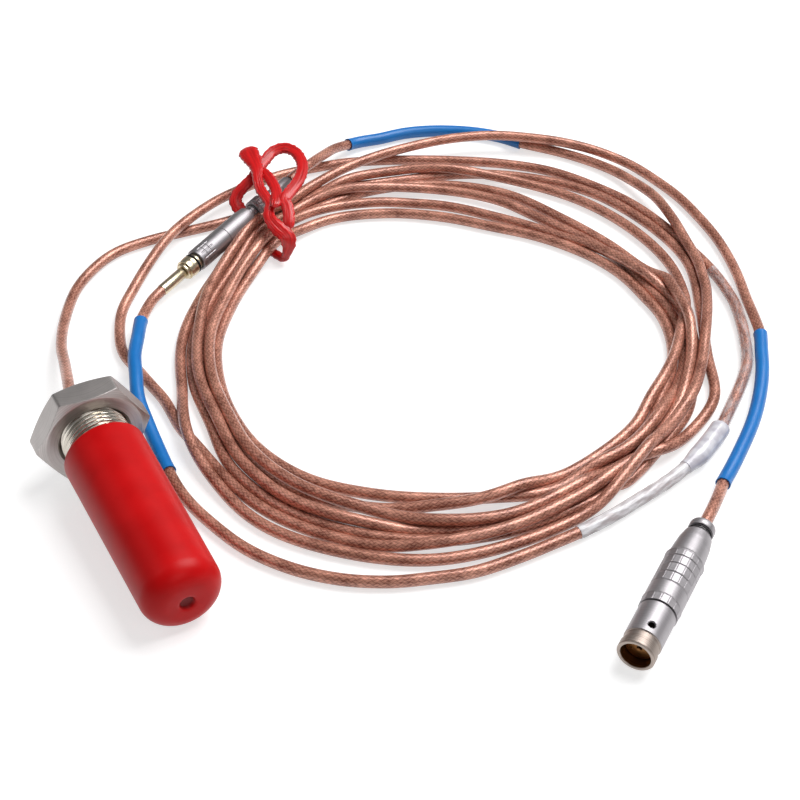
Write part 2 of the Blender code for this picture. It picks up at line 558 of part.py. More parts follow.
def inline_connector():
    """Plug half with its sliding latch sleeve, and the socket half with its clamping nut."""
    axis = axis_empty("inline_axis", INLINE_START, INLINE_DIRECTION)
    collar_front = CRIMP_L + COLLAR_L
    turned("crimp_ferrule", [(0, 0), (CRIMP_D / 2, 0), (CRIMP_D / 2, CRIMP_L - GAP), (0, CRIMP_L - GAP)],
           "gold", axis, FINE_SIDES)
    collar_r = COLLAR_D / 2
    step_end = CRIMP_L + COLLAR_STEP_L
    spigot_end = collar_front + RING_T + SLEEVE_TRAVEL + SPIGOT_REACH
    turned("plug_collar", [(0, CRIMP_L), (COLLAR_STEP_R, CRIMP_L), (COLLAR_STEP_R, step_end),
                           (collar_r, step_end), (collar_r, collar_front), (COLLAR_STEP_R, collar_front),
                           (COLLAR_STEP_R, spigot_end), (0, spigot_end)], "gold", axis, FINE_SIDES)
    ring_in = COLLAR_STEP_R + GAP
    turned("plug_ring", [(ring_in, collar_front + GAP), (collar_r, collar_front + GAP),
                         (collar_r, collar_front + RING_T), (ring_in, collar_front + RING_T)],
           "black_ring", axis, FINE_SIDES)
    sleeve_rear = collar_front + RING_T + GAP + SLEEVE_TRAVEL
    sleeve_front = sleeve_rear + LATCH_L
    sleeve_out = INLINE_D / 2
    sleeve_in = sleeve_out - LATCH_WALL
    turned("latch_sleeve", [(sleeve_in, sleeve_rear), (sleeve_out, sleeve_rear),
                            (sleeve_out, sleeve_front - LATCH_TAPER_L),
                            (sleeve_out - LATCH_TAPER, sleeve_front), (sleeve_in, sleeve_front)],
           "satin_chrome", axis, FINE_SIDES)
    insert_rear = spigot_end + GAP
    insert_front = sleeve_front - BODY_SETBACK
    pin_r = PIN_D / 2
    turned("plug_insulator", [(pin_r + GAP, insert_rear), (INLINE_BODY_R, insert_rear),
                              (INLINE_BODY_R, insert_front), (pin_r + GAP, insert_front)],
           "white_insulator", axis, FINE_SIDES)
    turned("plug_pin", [(0, insert_rear), (pin_r, insert_rear), (pin_r, insert_front + PIN_REACH),
                        (0, insert_front + PIN_REACH)], "brass", axis, PIN_SIDES)
    socket_rear = insert_front + GAP
    socket_face = socket_rear + SOCKET_CUP
    neck_r = NECK_D / 2
    tail_r = SOCKET_D / 2
    neck_end = sleeve_front + NECK_L + NUT_RING_L + NECK_TAIL
    shell_end = sleeve_front + GAP + NECK_L + NUT_RING_L + SOCKET_L
    inside = INLINE_BODY_R - LATCH_WALL
    turned("socket_shell", [(inside, socket_rear), (INLINE_BODY_R, socket_rear),
                            (INLINE_BODY_R, sleeve_front + GAP), (neck_r, sleeve_front + GAP),
                            (neck_r, neck_end), (tail_r, neck_end), (tail_r, shell_end - MM),
                            (tail_r - MM, shell_end), (0, shell_end), (0, socket_face),
                            (inside, socket_face)], "satin_chrome", axis, FINE_SIDES)
    nut_rear = sleeve_front + NECK_L
    turned("socket_nut", [(neck_r + GAP, nut_rear), (NUT_RING_D / 2, nut_rear),
                          (NUT_RING_D / 2, nut_rear + NUT_RING_L), (neck_r + GAP, nut_rear + NUT_RING_L)],
           "satin_chrome", axis, FINE_SIDES)
    return Vector(INLINE_START) + INLINE_DIRECTION * (shell_end + GAP / 2)


def end_connector():
    """Push-pull end connector: collet nut, sliding grip shell, front barrel, insert and contact."""
    axis = axis_empty("end_axis", END_START, END_DIRECTION)
    spigot = COLLET_SPIGOT_D / 2
    collet_end = COLLET_L + END_RING_T + SLEEVE_TRAVEL + COLLET_SPIGOT_L
    rim_r = COLLET_D / 2
    turned("collet_nut", [(0, 0), (rim_r - COLLET_EDGE, 0), (rim_r, COLLET_EDGE), (rim_r, COLLET_L),
                          (spigot, COLLET_L), (spigot, collet_end), (0, collet_end)],
           "satin_chrome", axis, FINE_SIDES)
    ring_out = rim_r - END_RING_INSET
    turned("end_ring", [(spigot + GAP, COLLET_L + GAP), (ring_out, COLLET_L + GAP),
                        (ring_out, COLLET_L + END_RING_T), (spigot + GAP, COLLET_L + END_RING_T)],
           "black_ring", axis, FINE_SIDES)
    shell_rear = COLLET_L + END_RING_T + GAP + SLEEVE_TRAVEL
    shell_front = shell_rear + SHELL_L
    shell_in = SHELL_D / 2 - SHELL_WALL
    turned("grip_shell", [(spigot + GAP, shell_rear), (SHELL_BACK_D / 2, shell_rear),
                          (SHELL_D / 2, shell_rear + SHELL_BACK_L), (SHELL_D / 2, shell_front),
                          (shell_in, shell_front), (shell_in, collet_end + GAP + SHELL_WALL + SLEEVE_TRAVEL),
                          (spigot + GAP, collet_end + GAP + SLEEVE_TRAVEL)], "satin_chrome", axis, FINE_SIDES)
    barrel_rear = shell_front + GAP
    barrel_front = barrel_rear + BARREL_L
    barrel_in = BARREL_D / 2 - BARREL_WALL
    tail_r = shell_in - GAP
    tail_rear = barrel_rear - BARREL_TAIL_L
    step_front = barrel_front + STEP_L
    rim_front = step_front + RIM_L
    floor = rim_front - BORE_DEPTH
    turned("front_barrel", [(0, tail_rear), (tail_r, tail_rear), (tail_r, barrel_rear),
                            (BARREL_D / 2, barrel_rear), (BARREL_D / 2, barrel_front),
                            (STEP_D / 2, barrel_front), (STEP_D / 2, step_front),
                            (RIM_D / 2, step_front), (RIM_D / 2, rim_front), (barrel_in, rim_front),
                            (barrel_in, floor), (0, floor)], "satin_chrome", axis, SIDES)
    insert_r = barrel_in - GAP
    contact_r = PIN_D / 2
    turned("end_insert", [(contact_r + GAP, floor + GAP), (insert_r, floor + GAP),
                          (insert_r, floor + INSERT_L), (contact_r + GAP, floor + INSERT_L)],
           "brass", axis, FINE_SIDES)
    turned("end_contact", [(0, floor + GAP), (contact_r, floor + GAP), (contact_r, floor + CONTACT_L),
                           (0, floor + CONTACT_L)], "brass", axis, PIN_SIDES)


def probe():
    dip, zero = probe_pose()
    forward = Vector((0, -cos(dip), -sin(dip)))
    axis = axis_empty("probe_axis", zero, forward)
    for build in (probe_case, probe_tip, coil_former, coil_winding, potting, cable_ferrule, lock_nut,
                  protective_cap):
        build(axis)
    return zero + forward * (FERRULE_REAR - GAP / 2), -forward


def cables(ferrule, backward, socket):
    """Every stretch of cable and sleeve, end to end, the coil between them, and the tie round it."""
    cable_run(in_mm(ferrule), [("probe_cable_out", PROBE_TO_COIL, CABLE_D, "copper_cable")], backward)
    crimp = in_mm(Vector(INLINE_START) - INLINE_DIRECTION * GAP / 2)
    cable_run(PROBE_FROM_COIL[0], [
        ("probe_cable_return", PROBE_FROM_COIL[1:], CABLE_D, "copper_cable"),
        ("clear_sleeve_loose", LOOSE_CLEAR, LOOSE_CLEAR_D, "clear_sleeve"),
        ("clear_sleeve_wide", WIDE_CLEAR, WIDE_CLEAR_D, "clear_sleeve"),
        ("clear_sleeve_tight", TIGHT_CLEAR, TIGHT_CLEAR_D, "clear_sleeve"),
        ("probe_cable_lower", PROBE_LOWER, CABLE_D, "copper_cable"),
        ("blue_sleeve_plug", BLUE_AT_PLUG, BLUE_D, "blue_sleeve"),
        ("plug_lead", (*PLUG_LEAD, crimp), CABLE_D, "copper_cable")], None, INLINE_DIRECTION)
    cable_run(in_mm(socket), [
        ("socket_lead", SOCKET_LEAD, CABLE_D, "copper_cable"),
        ("blue_sleeve_socket", BLUE_AT_SOCKET, BLUE_D, "blue_sleeve"),
        ("extension_cable_in", EXTENSION_IN, CABLE_D, "copper_cable")], INLINE_DIRECTION)
    collet = in_mm(Vector(END_START) - END_DIRECTION * GAP / 2)
    cable_run(EXTENSION_OUT[0], [
        ("extension_cable_out", EXTENSION_OUT[1:], CABLE_D, "copper_cable"),
        ("blue_sleeve_end", BLUE_AT_END, BLUE_D, "blue_sleeve"),
        ("end_lead", (*END_LEAD, collet), CABLE_D, "copper_cable")], None, END_DIRECTION)
    cable_coil()
    ribbon("twist_tie", TIE_ROUTE, TIE_WIDTHS)
    ribbon("twist_tie_strand", TIE_STRAND, TIE_STRAND_WIDTHS)


def in_mm(point):
    return tuple(point / MM)


clear_scene()
ferrule_end, backward_axis = probe()
socket_end = inline_connector()
end_connector()
cables(ferrule_end, backward_axis, socket_end)
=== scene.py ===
"""Eddy current sensor: capped probe with its lock nut, coiled copper cable, inline and end connectors."""

import bmesh
import bpy
import numpy as np
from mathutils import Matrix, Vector


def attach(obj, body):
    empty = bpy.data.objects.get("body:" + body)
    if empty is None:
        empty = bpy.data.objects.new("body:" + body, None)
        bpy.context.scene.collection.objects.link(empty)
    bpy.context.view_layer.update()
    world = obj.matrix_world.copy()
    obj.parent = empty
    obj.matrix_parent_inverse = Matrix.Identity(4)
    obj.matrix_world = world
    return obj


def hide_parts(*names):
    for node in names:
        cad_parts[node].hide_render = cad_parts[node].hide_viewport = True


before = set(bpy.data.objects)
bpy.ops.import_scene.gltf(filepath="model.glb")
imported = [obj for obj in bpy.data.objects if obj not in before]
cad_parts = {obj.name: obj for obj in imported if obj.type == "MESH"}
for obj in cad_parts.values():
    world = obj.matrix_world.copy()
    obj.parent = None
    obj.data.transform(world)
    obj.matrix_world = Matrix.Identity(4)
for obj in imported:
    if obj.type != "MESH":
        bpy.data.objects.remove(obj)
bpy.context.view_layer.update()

# Table, light and camera: a white sweep that the sensor lies on, under wide soft lamps, seen from above the
# probe's left side. It shows white to the eye and in reflections, and keeps the sensor's shadow.


class Signal:
    """An output socket. Its operators add Math nodes, and node() adds any other node."""

    def __init__(self, tree, socket=None):
        self.tree = tree
        self.socket = socket

    def node(self, kind, settings, inputs, output=0):
        made = self.tree.nodes.new(kind)
        for key, value in settings.items():
            if key == "stops":
                ramp = made.color_ramp
                for at, colour in value[1:-1]:
                    ramp.elements.new(at)
                for stop, (at, colour) in zip(ramp.elements, value):
                    stop.position = at
                    stop.color = (*colour, 1)
            else:
                setattr(made, key, value)
        for key, value in inputs.items():
            if isinstance(value, Signal):
                self.tree.links.new(value.socket, made.inputs[key])
            else:
                made.inputs[key].default_value = value
        return Signal(self.tree, made.outputs[output])

    def math(self, operation, *values):
        return self.node("ShaderNodeMath", {"operation": operation}, dict(enumerate(values)))

    def __add__(self, other):
        return self.math("ADD", self, other)

    def __radd__(self, other):
        return self.math("ADD", other, self)

    def __sub__(self, other):
        return self.math("SUBTRACT", self, other)

    def __rsub__(self, other):
        return self.math("SUBTRACT", other, self)

    def __mul__(self, other):
        return self.math("MULTIPLY", self, other)

    def __rmul__(self, other):
        return self.math("MULTIPLY", other, self)

    def __mod__(self, other):
        return self.math("FLOORED_MODULO", self, other)

    def between(self, low, high):
        """0 below low, 1 above high, and a soft step between them."""
        return self.node("ShaderNodeMapRange", {"interpolation_type": "SMOOTHSTEP"},
                         {0: self, 1: low, 2: high})

    def mix(self, first, second):
        """The first colour where the signal is 0 and the second where it is 1."""
        return self.node("ShaderNodeMix", {"data_type": "RGBA"}, {0: self, 6: first, 7: second}, 2)


def paint(red, green, blue):
    """A colour given in 0 to 255, as the linear value that a shader takes."""
    shades = np.array((red, green, blue)) / 255
    linear = np.where(shades > 0.04045, ((shades + 0.055) / 1.055) ** 2.4, shades / 12.92)
    return (*linear.tolist(), 1)


def finish(name, colour, roughness, **constants):
    """A new material, its shader, and the signal that starts its nodes."""
    made = bpy.data.materials.new(name)
    made.use_nodes = True
    shader = made.node_tree.nodes["Principled BSDF"]
    shader.inputs["Base Color"].default_value = colour
    shader.inputs["Roughness"].default_value = roughness
    for key, value in constants.items():
        shader.inputs[key.replace("_", " ").title().replace("Ior", "IOR")].default_value = value
    return made, shader, Signal(made.node_tree)


def feed(shader, **signals):
    """Joins signals to the shader's sockets; bump is a height in metres."""
    for key, signal in signals.items():
        if key == "bump":
            signal = signal.node("ShaderNodeBump", {}, {"Height": signal, "Distance": 1.0})
            key = "normal"
        signal.tree.links.new(signal.socket, shader.inputs[key.replace("_", " ").title()])


def surface(name, points, around=False, along=False, uv=None):
    """A mesh from a grid of points; a closed direction joins its last row back to its first.

    uv gives each grid point's place on the skin; where the grid closes, its last face runs on past the edge.
    """
    rows, columns = points.shape[:2]
    r = np.arange(rows if along else rows - 1)
    c = np.arange(columns if around else columns - 1)
    r, c = (side.ravel() for side in np.meshgrid(r, c, indexing="ij"))
    r2, c2 = (r + 1) % rows, (c + 1) % columns
    faces = np.stack([r * columns + c, r * columns + c2, r2 * columns + c2, r2 * columns + c], axis=1)
    mesh = bpy.data.meshes.new(name)
    mesh.from_pydata(points.reshape(-1, 3), [], faces)
    if uv is not None:
        wrap = c2 < c
        corners = ((r, c, 0), (r, c2, wrap), (r2, c2, wrap), (r2, c, 0))
        spots = [np.stack([uv[a, b, 0] + past, uv[a, b, 1]], axis=-1) for a, b, past in corners]
        mesh.uv_layers.new(name="skin").data.foreach_set("uv", np.stack(spots, axis=1).ravel())
    mesh.shade_smooth()
    return mesh


def piece(name, mesh, material, body, nodes):
    """Links a finished mesh, with its material, its body and the nodes that it stands for."""
    thing = bpy.data.objects.new(name, mesh)
    bpy.context.scene.collection.objects.link(thing)
    mesh.materials.append(material)
    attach(thing, body)
    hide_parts(*nodes)
    return thing


SWEEP_GLOW = 0.62
sweep, sweep_shader, start = finish("sweep", (0.6, 0.6, 0.6, 1), 0.9)
seen = start.node("ShaderNodeLightPath", {}, {}, "Is Camera Ray")
for ray in ("Is Glossy Ray", "Is Transmission Ray"):
    seen = seen.math("MAXIMUM", seen, start.node("ShaderNodeLightPath", {}, {}, ray))
glow = start.node("ShaderNodeEmission", {}, {"Color": (1, 1, 1, 1), "Strength": seen * SWEEP_GLOW})
both = start.node("ShaderNodeAddShader", {}, {0: Signal(start.tree, sweep_shader.outputs[0]), 1: glow})
sweep.node_tree.links.new(both.socket, sweep.node_tree.nodes["Material Output"].inputs["Surface"])
reach = np.linspace(-3, 3, 2)
corner_x, corner_y = np.meshgrid(reach, reach)
table_mesh = surface("table", np.stack([corner_x, corner_y, 0 * corner_x], axis=-1))
table_mesh.materials.append(sweep)
table = bpy.data.objects.new("table", table_mesh)
bpy.context.scene.collection.objects.link(table)

world = bpy.data.worlds.new("studio")
bpy.context.scene.world = world
world.use_nodes = True
sky = Signal(world.node_tree)
heading = sky.node("ShaderNodeTexCoord", {}, {}, "Generated")
height = sky.node("ShaderNodeSeparateXYZ", {}, {0: heading}, "Z")
SKY_GREYS = ((0.0, 0.5), (0.3, 0.34), (0.6, 0.18), (1.0, 0.2))
band = sky.node("ShaderNodeValToRGB", {"stops": [(at, (grey,) * 3) for at, grey in SKY_GREYS]}, {0: height})
studio = sky.node("ShaderNodeBackground", {}, {"Color": band, "Strength": 0.65})
world.node_tree.links.new(studio.socket, world.node_tree.nodes["World Output"].inputs["Surface"])


def stand(name, data, place, aim):
    """A lamp or camera at a place, turned to its aim."""
    holder = bpy.data.objects.new(name, data)
    bpy.context.scene.collection.objects.link(holder)
    holder.location = place
    holder.rotation_euler = (Vector(aim) - Vector(place)).to_track_quat("-Z", "Y").to_euler()
    return holder


for name, place, size, watts in (("lamp_right", (0.75, 0.1, 1.15), 0.95, 19),
                                 ("lamp_left", (-0.8, 0.5, 1.2), 0.8, 1.6),
                                 ("lamp_front", (0.1, -1.2, 1.0), 0.8, 2.4)):
    light = bpy.data.lights.new(name, "AREA")
    light.size = size
    light.energy = watts
    stand(name, light, place, (0.08, 0.02, 0))

view = bpy.data.cameras.new("photo_view")
view.lens = 72.8
view.sensor_width = 36
view.clip_start = 0.01
bpy.context.scene.camera = stand("photo_view", view, (-0.0846, -0.3150, 0.3261), (0.0925, 0.0156, 0))
bpy.context.scene.view_settings.view_transform = "Standard"

# Copper cables: two lengths of coaxial cable, the probe's own, which ends in the plug, and the extension from
# the socket to the end connector. A copper braid shows through a clear jacket. Both are wound into one flat
# coil, whose turns lie beside and on each other and pass over the tie's band.
CABLE_D = 0.00355
STEP = 0.0015                         # spacing of the points on a cable's line
FLOOR = 0.0003                        # height that the lowest turns lie at
COIL_CENTRE = np.array((0.114, 0.031))
FERRULE_EXIT = (0.0, 0.04106, 0.01574)
PLUG_EXIT = (0.047, 0.0964, 0.0044)
SOCKET_EXIT = (0.10796, 0.12683, 0.01096)
COLLET_EXIT = (0.1381, -0.0771, 0.00595)
BACKWARD = np.array((0.0, 0.998435, 0.05592))
INLINE_FORWARD = np.array((0.890596, 0.444572, 0.095888))
END_FORWARD = np.array((-0.82453, -0.565818, 0.0))

# The free stretches' points in mm, in the order in which each cable runs
PROBE_OUT = ((0, 48, 15.4), (2, 57, 13), (5, 70, 9), (8, 83, 6), (14, 98, 3.2), (23, 113, 2.1),
             (33, 122, 2.1), (43, 127, 2.1), (55, 128, 2.1), (68, 127, 2.1), (80, 126, 2.1), (92, 126, 2.1),
             (104, 127, 2.1), (114, 127, 2.1), (122, 126, 2.1))
PROBE_RETURN = ((28, 30, 2.1), (28, 40, 2.1), (28, 48, 2.1), (27, 56, 2.1), (26, 65, 2.1), (25, 74, 2.1),
                (27, 83, 2.2), (32, 94, 2.8), (40, 103, 4), (48, 111, 5.2), (58, 120, 6.1), (68, 127, 6.1),
                (83, 135, 5.2), (98, 140, 4), (112, 143, 2.6), (126, 142, 2.1), (139, 139, 2.1),
                (155, 132, 2.1), (171, 123, 2.1), (187, 112, 2.1), (200, 99, 2.1), (209, 82, 2.1),
                (214, 67, 2.1), (216, 50, 2.1), (216, 36, 2.1), (215, 22, 2.2))
LOOSE_CLEAR = ((212, 8, 2.3), (208, -2, 2.3), (202, -13, 2.3), (195, -23, 2.3), (186, -31, 2.3),
               (177, -38, 2.5), (169, -44, 3.2))
WIDE_CLEAR = ((162, -48, 3.4), (156, -51, 3.4), (150, -53, 3.2))
TIGHT_CLEAR = ((142, -55, 2.5), (131, -57, 2.4), (120, -59, 2.4), (108, -60, 2.4))
PROBE_LOWER = ((101, -60, 2.2), (90, -60, 2.1), (76, -59, 2.1), (63, -55, 2.1), (53, -51, 2.1),
               (42, -44, 2.1), (32, -34, 2.1), (24, -21, 2.1), (19, -5, 2.1), (17, 6, 2.4))
BLUE_AT_PLUG = ((17, 16, 2.6), (18, 28, 2.8), (19, 39, 4.2), (20, 48, 6), (23, 57, 6.9), (26, 66, 6.9),
                (31, 76, 6), (35, 84, 5))
PLUG_LEAD = ((40, 90.6, 4.4), (43, 93.8, 4.2))
SOCKET_LEAD = ((120, 134, 10.4), (128, 140, 8.2), (135, 145, 6), (142, 148, 3.8))
BLUE_AT_SOCKET = ((148, 149, 2.8), (155, 148, 2.5), (165, 147, 2.5), (176, 143, 2.5), (187, 136, 2.5),
                  (195, 128, 2.5), (200, 120, 2.5))
EXTENSION_IN = ((208, 111, 2.1), (214, 102, 2.1), (219, 91, 2.4), (221, 79, 3.4), (221, 65, 5),
                (218, 51, 6.1), (215, 39, 6.2), (212, 28, 6.2), (208, 19, 6.1), (203, 10, 5.4))
EXTENSION_OUT = ((97, 119, 5.8), (104, 121, 6), (114, 126, 6.2), (125, 130, 6.2), (136, 132, 6.2),
                 (150, 133, 6.2), (165, 132, 6.3), (177, 129, 6.8), (190, 124, 6.8), (201, 117, 6.4),
                 (211, 109, 5.8), (220, 100, 4.4), (227, 89, 2.8), (230, 77, 2.1), (231, 64, 2.1),
                 (230, 51, 2.1), (228, 38, 2.1), (225, 27, 2.1), (221, 16, 2.1), (216, 5, 2.2), (211, -6, 3),
                 (207, -14, 3.5))
BLUE_AT_END = ((202, -21, 3.5), (197, -28, 3.3), (191, -35, 2.9), (184, -42, 2.6), (177, -48, 2.5),
               (169, -54, 2.5), (162, -59, 2.5), (156, -63, 2.6))
END_LEAD = ((151.5, -66.8, 3.4), (147, -70.5, 4.7), (142.5, -74, 5.7))

# Each turn's radius in mm every 15 degrees, and whether it lies on the table, 0, or on other turns, 1. The
# extension runs through the first six rows, each from 345 degrees down, and leaves the last at 105; the
# probe's cable runs through the seventh from 75 degrees down to -165.
TURN_STEP = 15
LAYER_RISE = 0.9
TURNS = (
    ((89, 84, 80, 80, 81, 85, 89, 93, 94, 94, 90, 86, 81, 81, 81, 83, 88, 93, 97, 98, 98, 97, 94, 90),
     "111110000011000000111111"),
    ((83, 76, 72, 70, 69, 70, 72, 73, 76, 78, 76, 74, 74, 74, 74, 76, 82, 88, 91, 92, 90, 84, 81, 80),
     "111000110000000000000000"),
    ((80, 80, 79, 78, 78, 81, 84, 86, 86, 86, 83, 77, 77, 77, 77, 79, 85, 90, 89, 88, 84, 79, 78, 77),
     "111000000000000000111000"),
    ((78, 78, 76, 75, 75, 73, 70, 69, 70, 72, 72, 71, 70, 70, 70, 72, 76, 79, 76, 72, 69, 70, 72, 74),
     "000110000000000000000000"),
    ((76, 76, 75, 75, 76, 78, 81, 81, 78, 78, 76, 73, 72, 72, 72, 75, 80, 84, 82, 79, 75, 74, 75, 77),
     "000001111111111111100011"),
    ((82, 81, 80, 79, 79, 79, 81, 82, 84, 84, 80, 76, 76, 76, 78, 82, 88), "00000000111111111"),
    ((95, 98, 102, 104, 101, 97, 89, 85, 88, 84, 79, 81, 85, 88, 89, 88, 86), "00000000001111000"),
)


def turn_points(row, first):
    """Knots of one turn in metres: the coil's centre plus the radius times the angle's cosine and sine."""
    radii, layers = row
    angles = np.radians(first - TURN_STEP * np.arange(len(radii)))
    radii = np.array(radii) / 1000
    heights = FLOOR + CABLE_D * (0.5 + LAYER_RISE * np.array([int(layer) for layer in layers]))
    flat = COIL_CENTRE + radii[:, None] * np.stack([np.cos(angles), np.sin(angles)], axis=1)
    return np.column_stack([flat, heights])


def smooth_path(knots, step, first=None, last=None):
    """Evenly spaced points on a curve through the knots.

    Between two knots it is a cubic, whose slope at a knot is half the step from the knot before to the one
    after. first and last give the directions in which it starts and ends.
    """
    knots = np.asarray(knots, float)
    near, far = knots[1] - knots[0], knots[-1] - knots[-2]
    before = knots[0] - near if first is None else knots[1] - 2 * np.linalg.norm(near) * first
    after = knots[-1] + far if last is None else knots[-2] + 2 * np.linalg.norm(far) * last
    p = np.vstack([before, knots, after])
    p0, p1, p2, p3 = (p[k:len(p) - 3 + k, None] for k in range(4))
    t = np.linspace(0, 1, 24, endpoint=False)[:, None]
    dense = 0.5 * (2 * p1 + (p2 - p0) * t + (2 * p0 - 5 * p1 + 4 * p2 - p3) * t ** 2
                   + (3 * p1 - p0 - 3 * p2 + p3) * t ** 3)
    dense = np.vstack([dense.reshape(-1, 3), knots[-1:]])
    return even(dense, step)


def even(points, step):
    """The same line with its points moved to an even spacing of about the step."""
    lengths = np.concatenate([[0], np.cumsum(np.linalg.norm(np.diff(points, axis=0), axis=1))])
    wants = np.linspace(0, lengths[-1], max(2, round(lengths[-1] / step) + 1))
    return np.stack([np.interp(wants, lengths, points[:, k]) for k in range(3)], axis=1)


def in_metres(*routes):
    """One array of points in metres from routes in mm, one after the other."""
    return np.array([point for route in routes for point in route], float) / 1000


probe_route = np.vstack([[FERRULE_EXIT], in_metres(PROBE_OUT), turn_points(TURNS[6], 75),
                         in_metres(PROBE_RETURN, LOOSE_CLEAR, WIDE_CLEAR, TIGHT_CLEAR, PROBE_LOWER,
                                   BLUE_AT_PLUG, PLUG_LEAD), [PLUG_EXIT]])
extension_turns = np.vstack([turn_points(row, 345) for row in TURNS[:6]])[1:]
extension_route = np.vstack([[SOCKET_EXIT], in_metres(SOCKET_LEAD, BLUE_AT_SOCKET, EXTENSION_IN),
                             extension_turns, in_metres(EXTENSION_OUT, BLUE_AT_END, END_LEAD), [COLLET_EXIT]])
probe_line = smooth_path(probe_route, STEP, BACKWARD, INLINE_FORWARD)
extension_line = smooth_path(extension_route, STEP, INLINE_FORWARD, END_FORWARD)


def nearest(line, point):
    """Index of a line's point that lies nearest to a point in mm."""
    return int(np.argmin(np.linalg.norm(line - np.asarray(point, float) / 1000, axis=1)))


def looseness(line, first, last, fade=0.045):
    """1 on the coiled part of a line, falling softly to 0 over the fade beyond each end of it."""
    place = np.arange(len(line)) * STEP
    low, high = nearest(line, first) * STEP, nearest(line, last) * STEP
    rise = np.clip((place - low) / fade + 1, 0, 1) * np.clip((high - place) / fade + 1, 0, 1)
    return rise * rise * (3 - 2 * rise)


SEARCH_EVERY = 12        # rounds between two searches for near pairs
SEARCH_PARTS = 24        # shares in which the points are searched
REACH = 2.2              # how near a pair is, in cable diameters
OWN_POINTS = 12          # points this near along one cable don't press on each other
CLEARANCE = 1.02         # distance of two touching turns, in cable diameters
SINK = 0.000015          # drop in each round
STRIDE = 1.2             # how much of the shift a round makes
PULL_BACK = 0.96         # share of its sideways shift that a point keeps, but for the last rounds
FREE_ROUNDS = 30
BAND_AT, BAND_SPREAD, BAND_LIFT = 108, 9, 0.0030   # degrees and metres: where turns pass over the tie


def settle(lines, free, rounds):
    """Turns that press into each other move apart and drop until they rest, with the shift kept smooth.

    Each round moves a near pair of points of two turns apart by half their overlap, lets all points sink a
    little, keeps them above the table or the tie's band, draws them back to their own radius and averages
    the shift along the cable.
    """
    points = np.vstack(lines)
    rest = points.copy()
    free = np.concatenate(free)[:, None]
    cable = np.repeat(np.arange(len(lines)), [len(line) for line in lines])
    place = np.concatenate([np.arange(len(line)) for line in lines])
    edges = np.flatnonzero(np.diff(cable)) + 1
    loose = np.flatnonzero(free[:, 0] > 0)
    first, second = np.zeros(0, int), np.zeros(0, int)
    for k in range(rounds):
        if k % SEARCH_EVERY == 0:
            pairs = []
            for chunk in np.array_split(loose, SEARCH_PARTS):
                apart = np.abs(points[chunk, None, :2] - points[None, :, :2]).max(axis=2)
                i, j = np.nonzero(apart < REACH * CABLE_D)
                pairs.append(np.stack([chunk[i], j], axis=1))
            first, second = np.vstack(pairs).T
            keep = (cable[first] != cable[second]) | (np.abs(place[first] - place[second]) > OWN_POINTS)
            first, second = first[keep], second[keep]
        gap = points[first] - points[second]
        length = np.linalg.norm(gap, axis=1)
        overlap = np.clip(CLEARANCE * CABLE_D - length, 0, None)
        push = gap / np.maximum(length, 1e-6)[:, None] * (0.5 * overlap)[:, None]
        shift = np.zeros_like(points)
        count = np.bincount(first[overlap > 0], minlength=len(points))[:, None]
        for axis in range(3):
            shift[:, axis] = np.bincount(first, weights=push[:, axis], minlength=len(points))
        shift = shift / np.sqrt(np.maximum(count, 1))
        shift[:, 2] -= SINK
        points = points + STRIDE * shift * free
        angle = np.degrees(np.arctan2(points[:, 1] - COIL_CENTRE[1], points[:, 0] - COIL_CENTRE[0]))
        band = np.exp(-((angle - BAND_AT) / BAND_SPREAD) ** 2) * (free[:, 0] == 1)
        ground = FLOOR + CABLE_D / 2 + BAND_LIFT * band
        points[:, 2] = np.where(free[:, 0] > 0, np.maximum(points[:, 2], ground), points[:, 2])
        moved = points - rest
        moved[:, :2] *= PULL_BACK if k < rounds - FREE_ROUNDS else 1
        for _ in range(2):
            soft = moved.copy()
            soft[1:-1] = 0.25 * moved[:-2] + 0.5 * moved[1:-1] + 0.25 * moved[2:]
            soft[edges] = moved[edges]
            soft[edges - 1] = moved[edges - 1]
            moved = moved + (soft - moved) * free
        points = rest + moved
    return np.split(points, edges)


coiled = [looseness(probe_line, (122, 126, 2.1), (28, 30, 2.1)),
          looseness(extension_line, (203, 10, 5.4), (97, 119, 5.8))]
probe_line, extension_line = settle([probe_line, extension_line], coiled, 160)


def smoothed(line, rounds):
    """The line averaged with its neighbours, its ends held."""
    for _ in range(rounds):
        line = np.vstack([line[:1], 0.25 * line[:-2] + 0.5 * line[1:-1] + 0.25 * line[2:], line[-1:]])
    return line


probe_line = smoothed(probe_line, 2)
extension_line = smoothed(extension_line, 2)


def frames(line):
    """Distance along a line at each of its points, and the line's unit direction there."""
    distance = np.concatenate([[0], np.cumsum(np.linalg.norm(np.diff(line, axis=0), axis=1))])
    tangent = np.gradient(line, axis=0)
    return distance, tangent / np.linalg.norm(tangent, axis=1)[:, None]


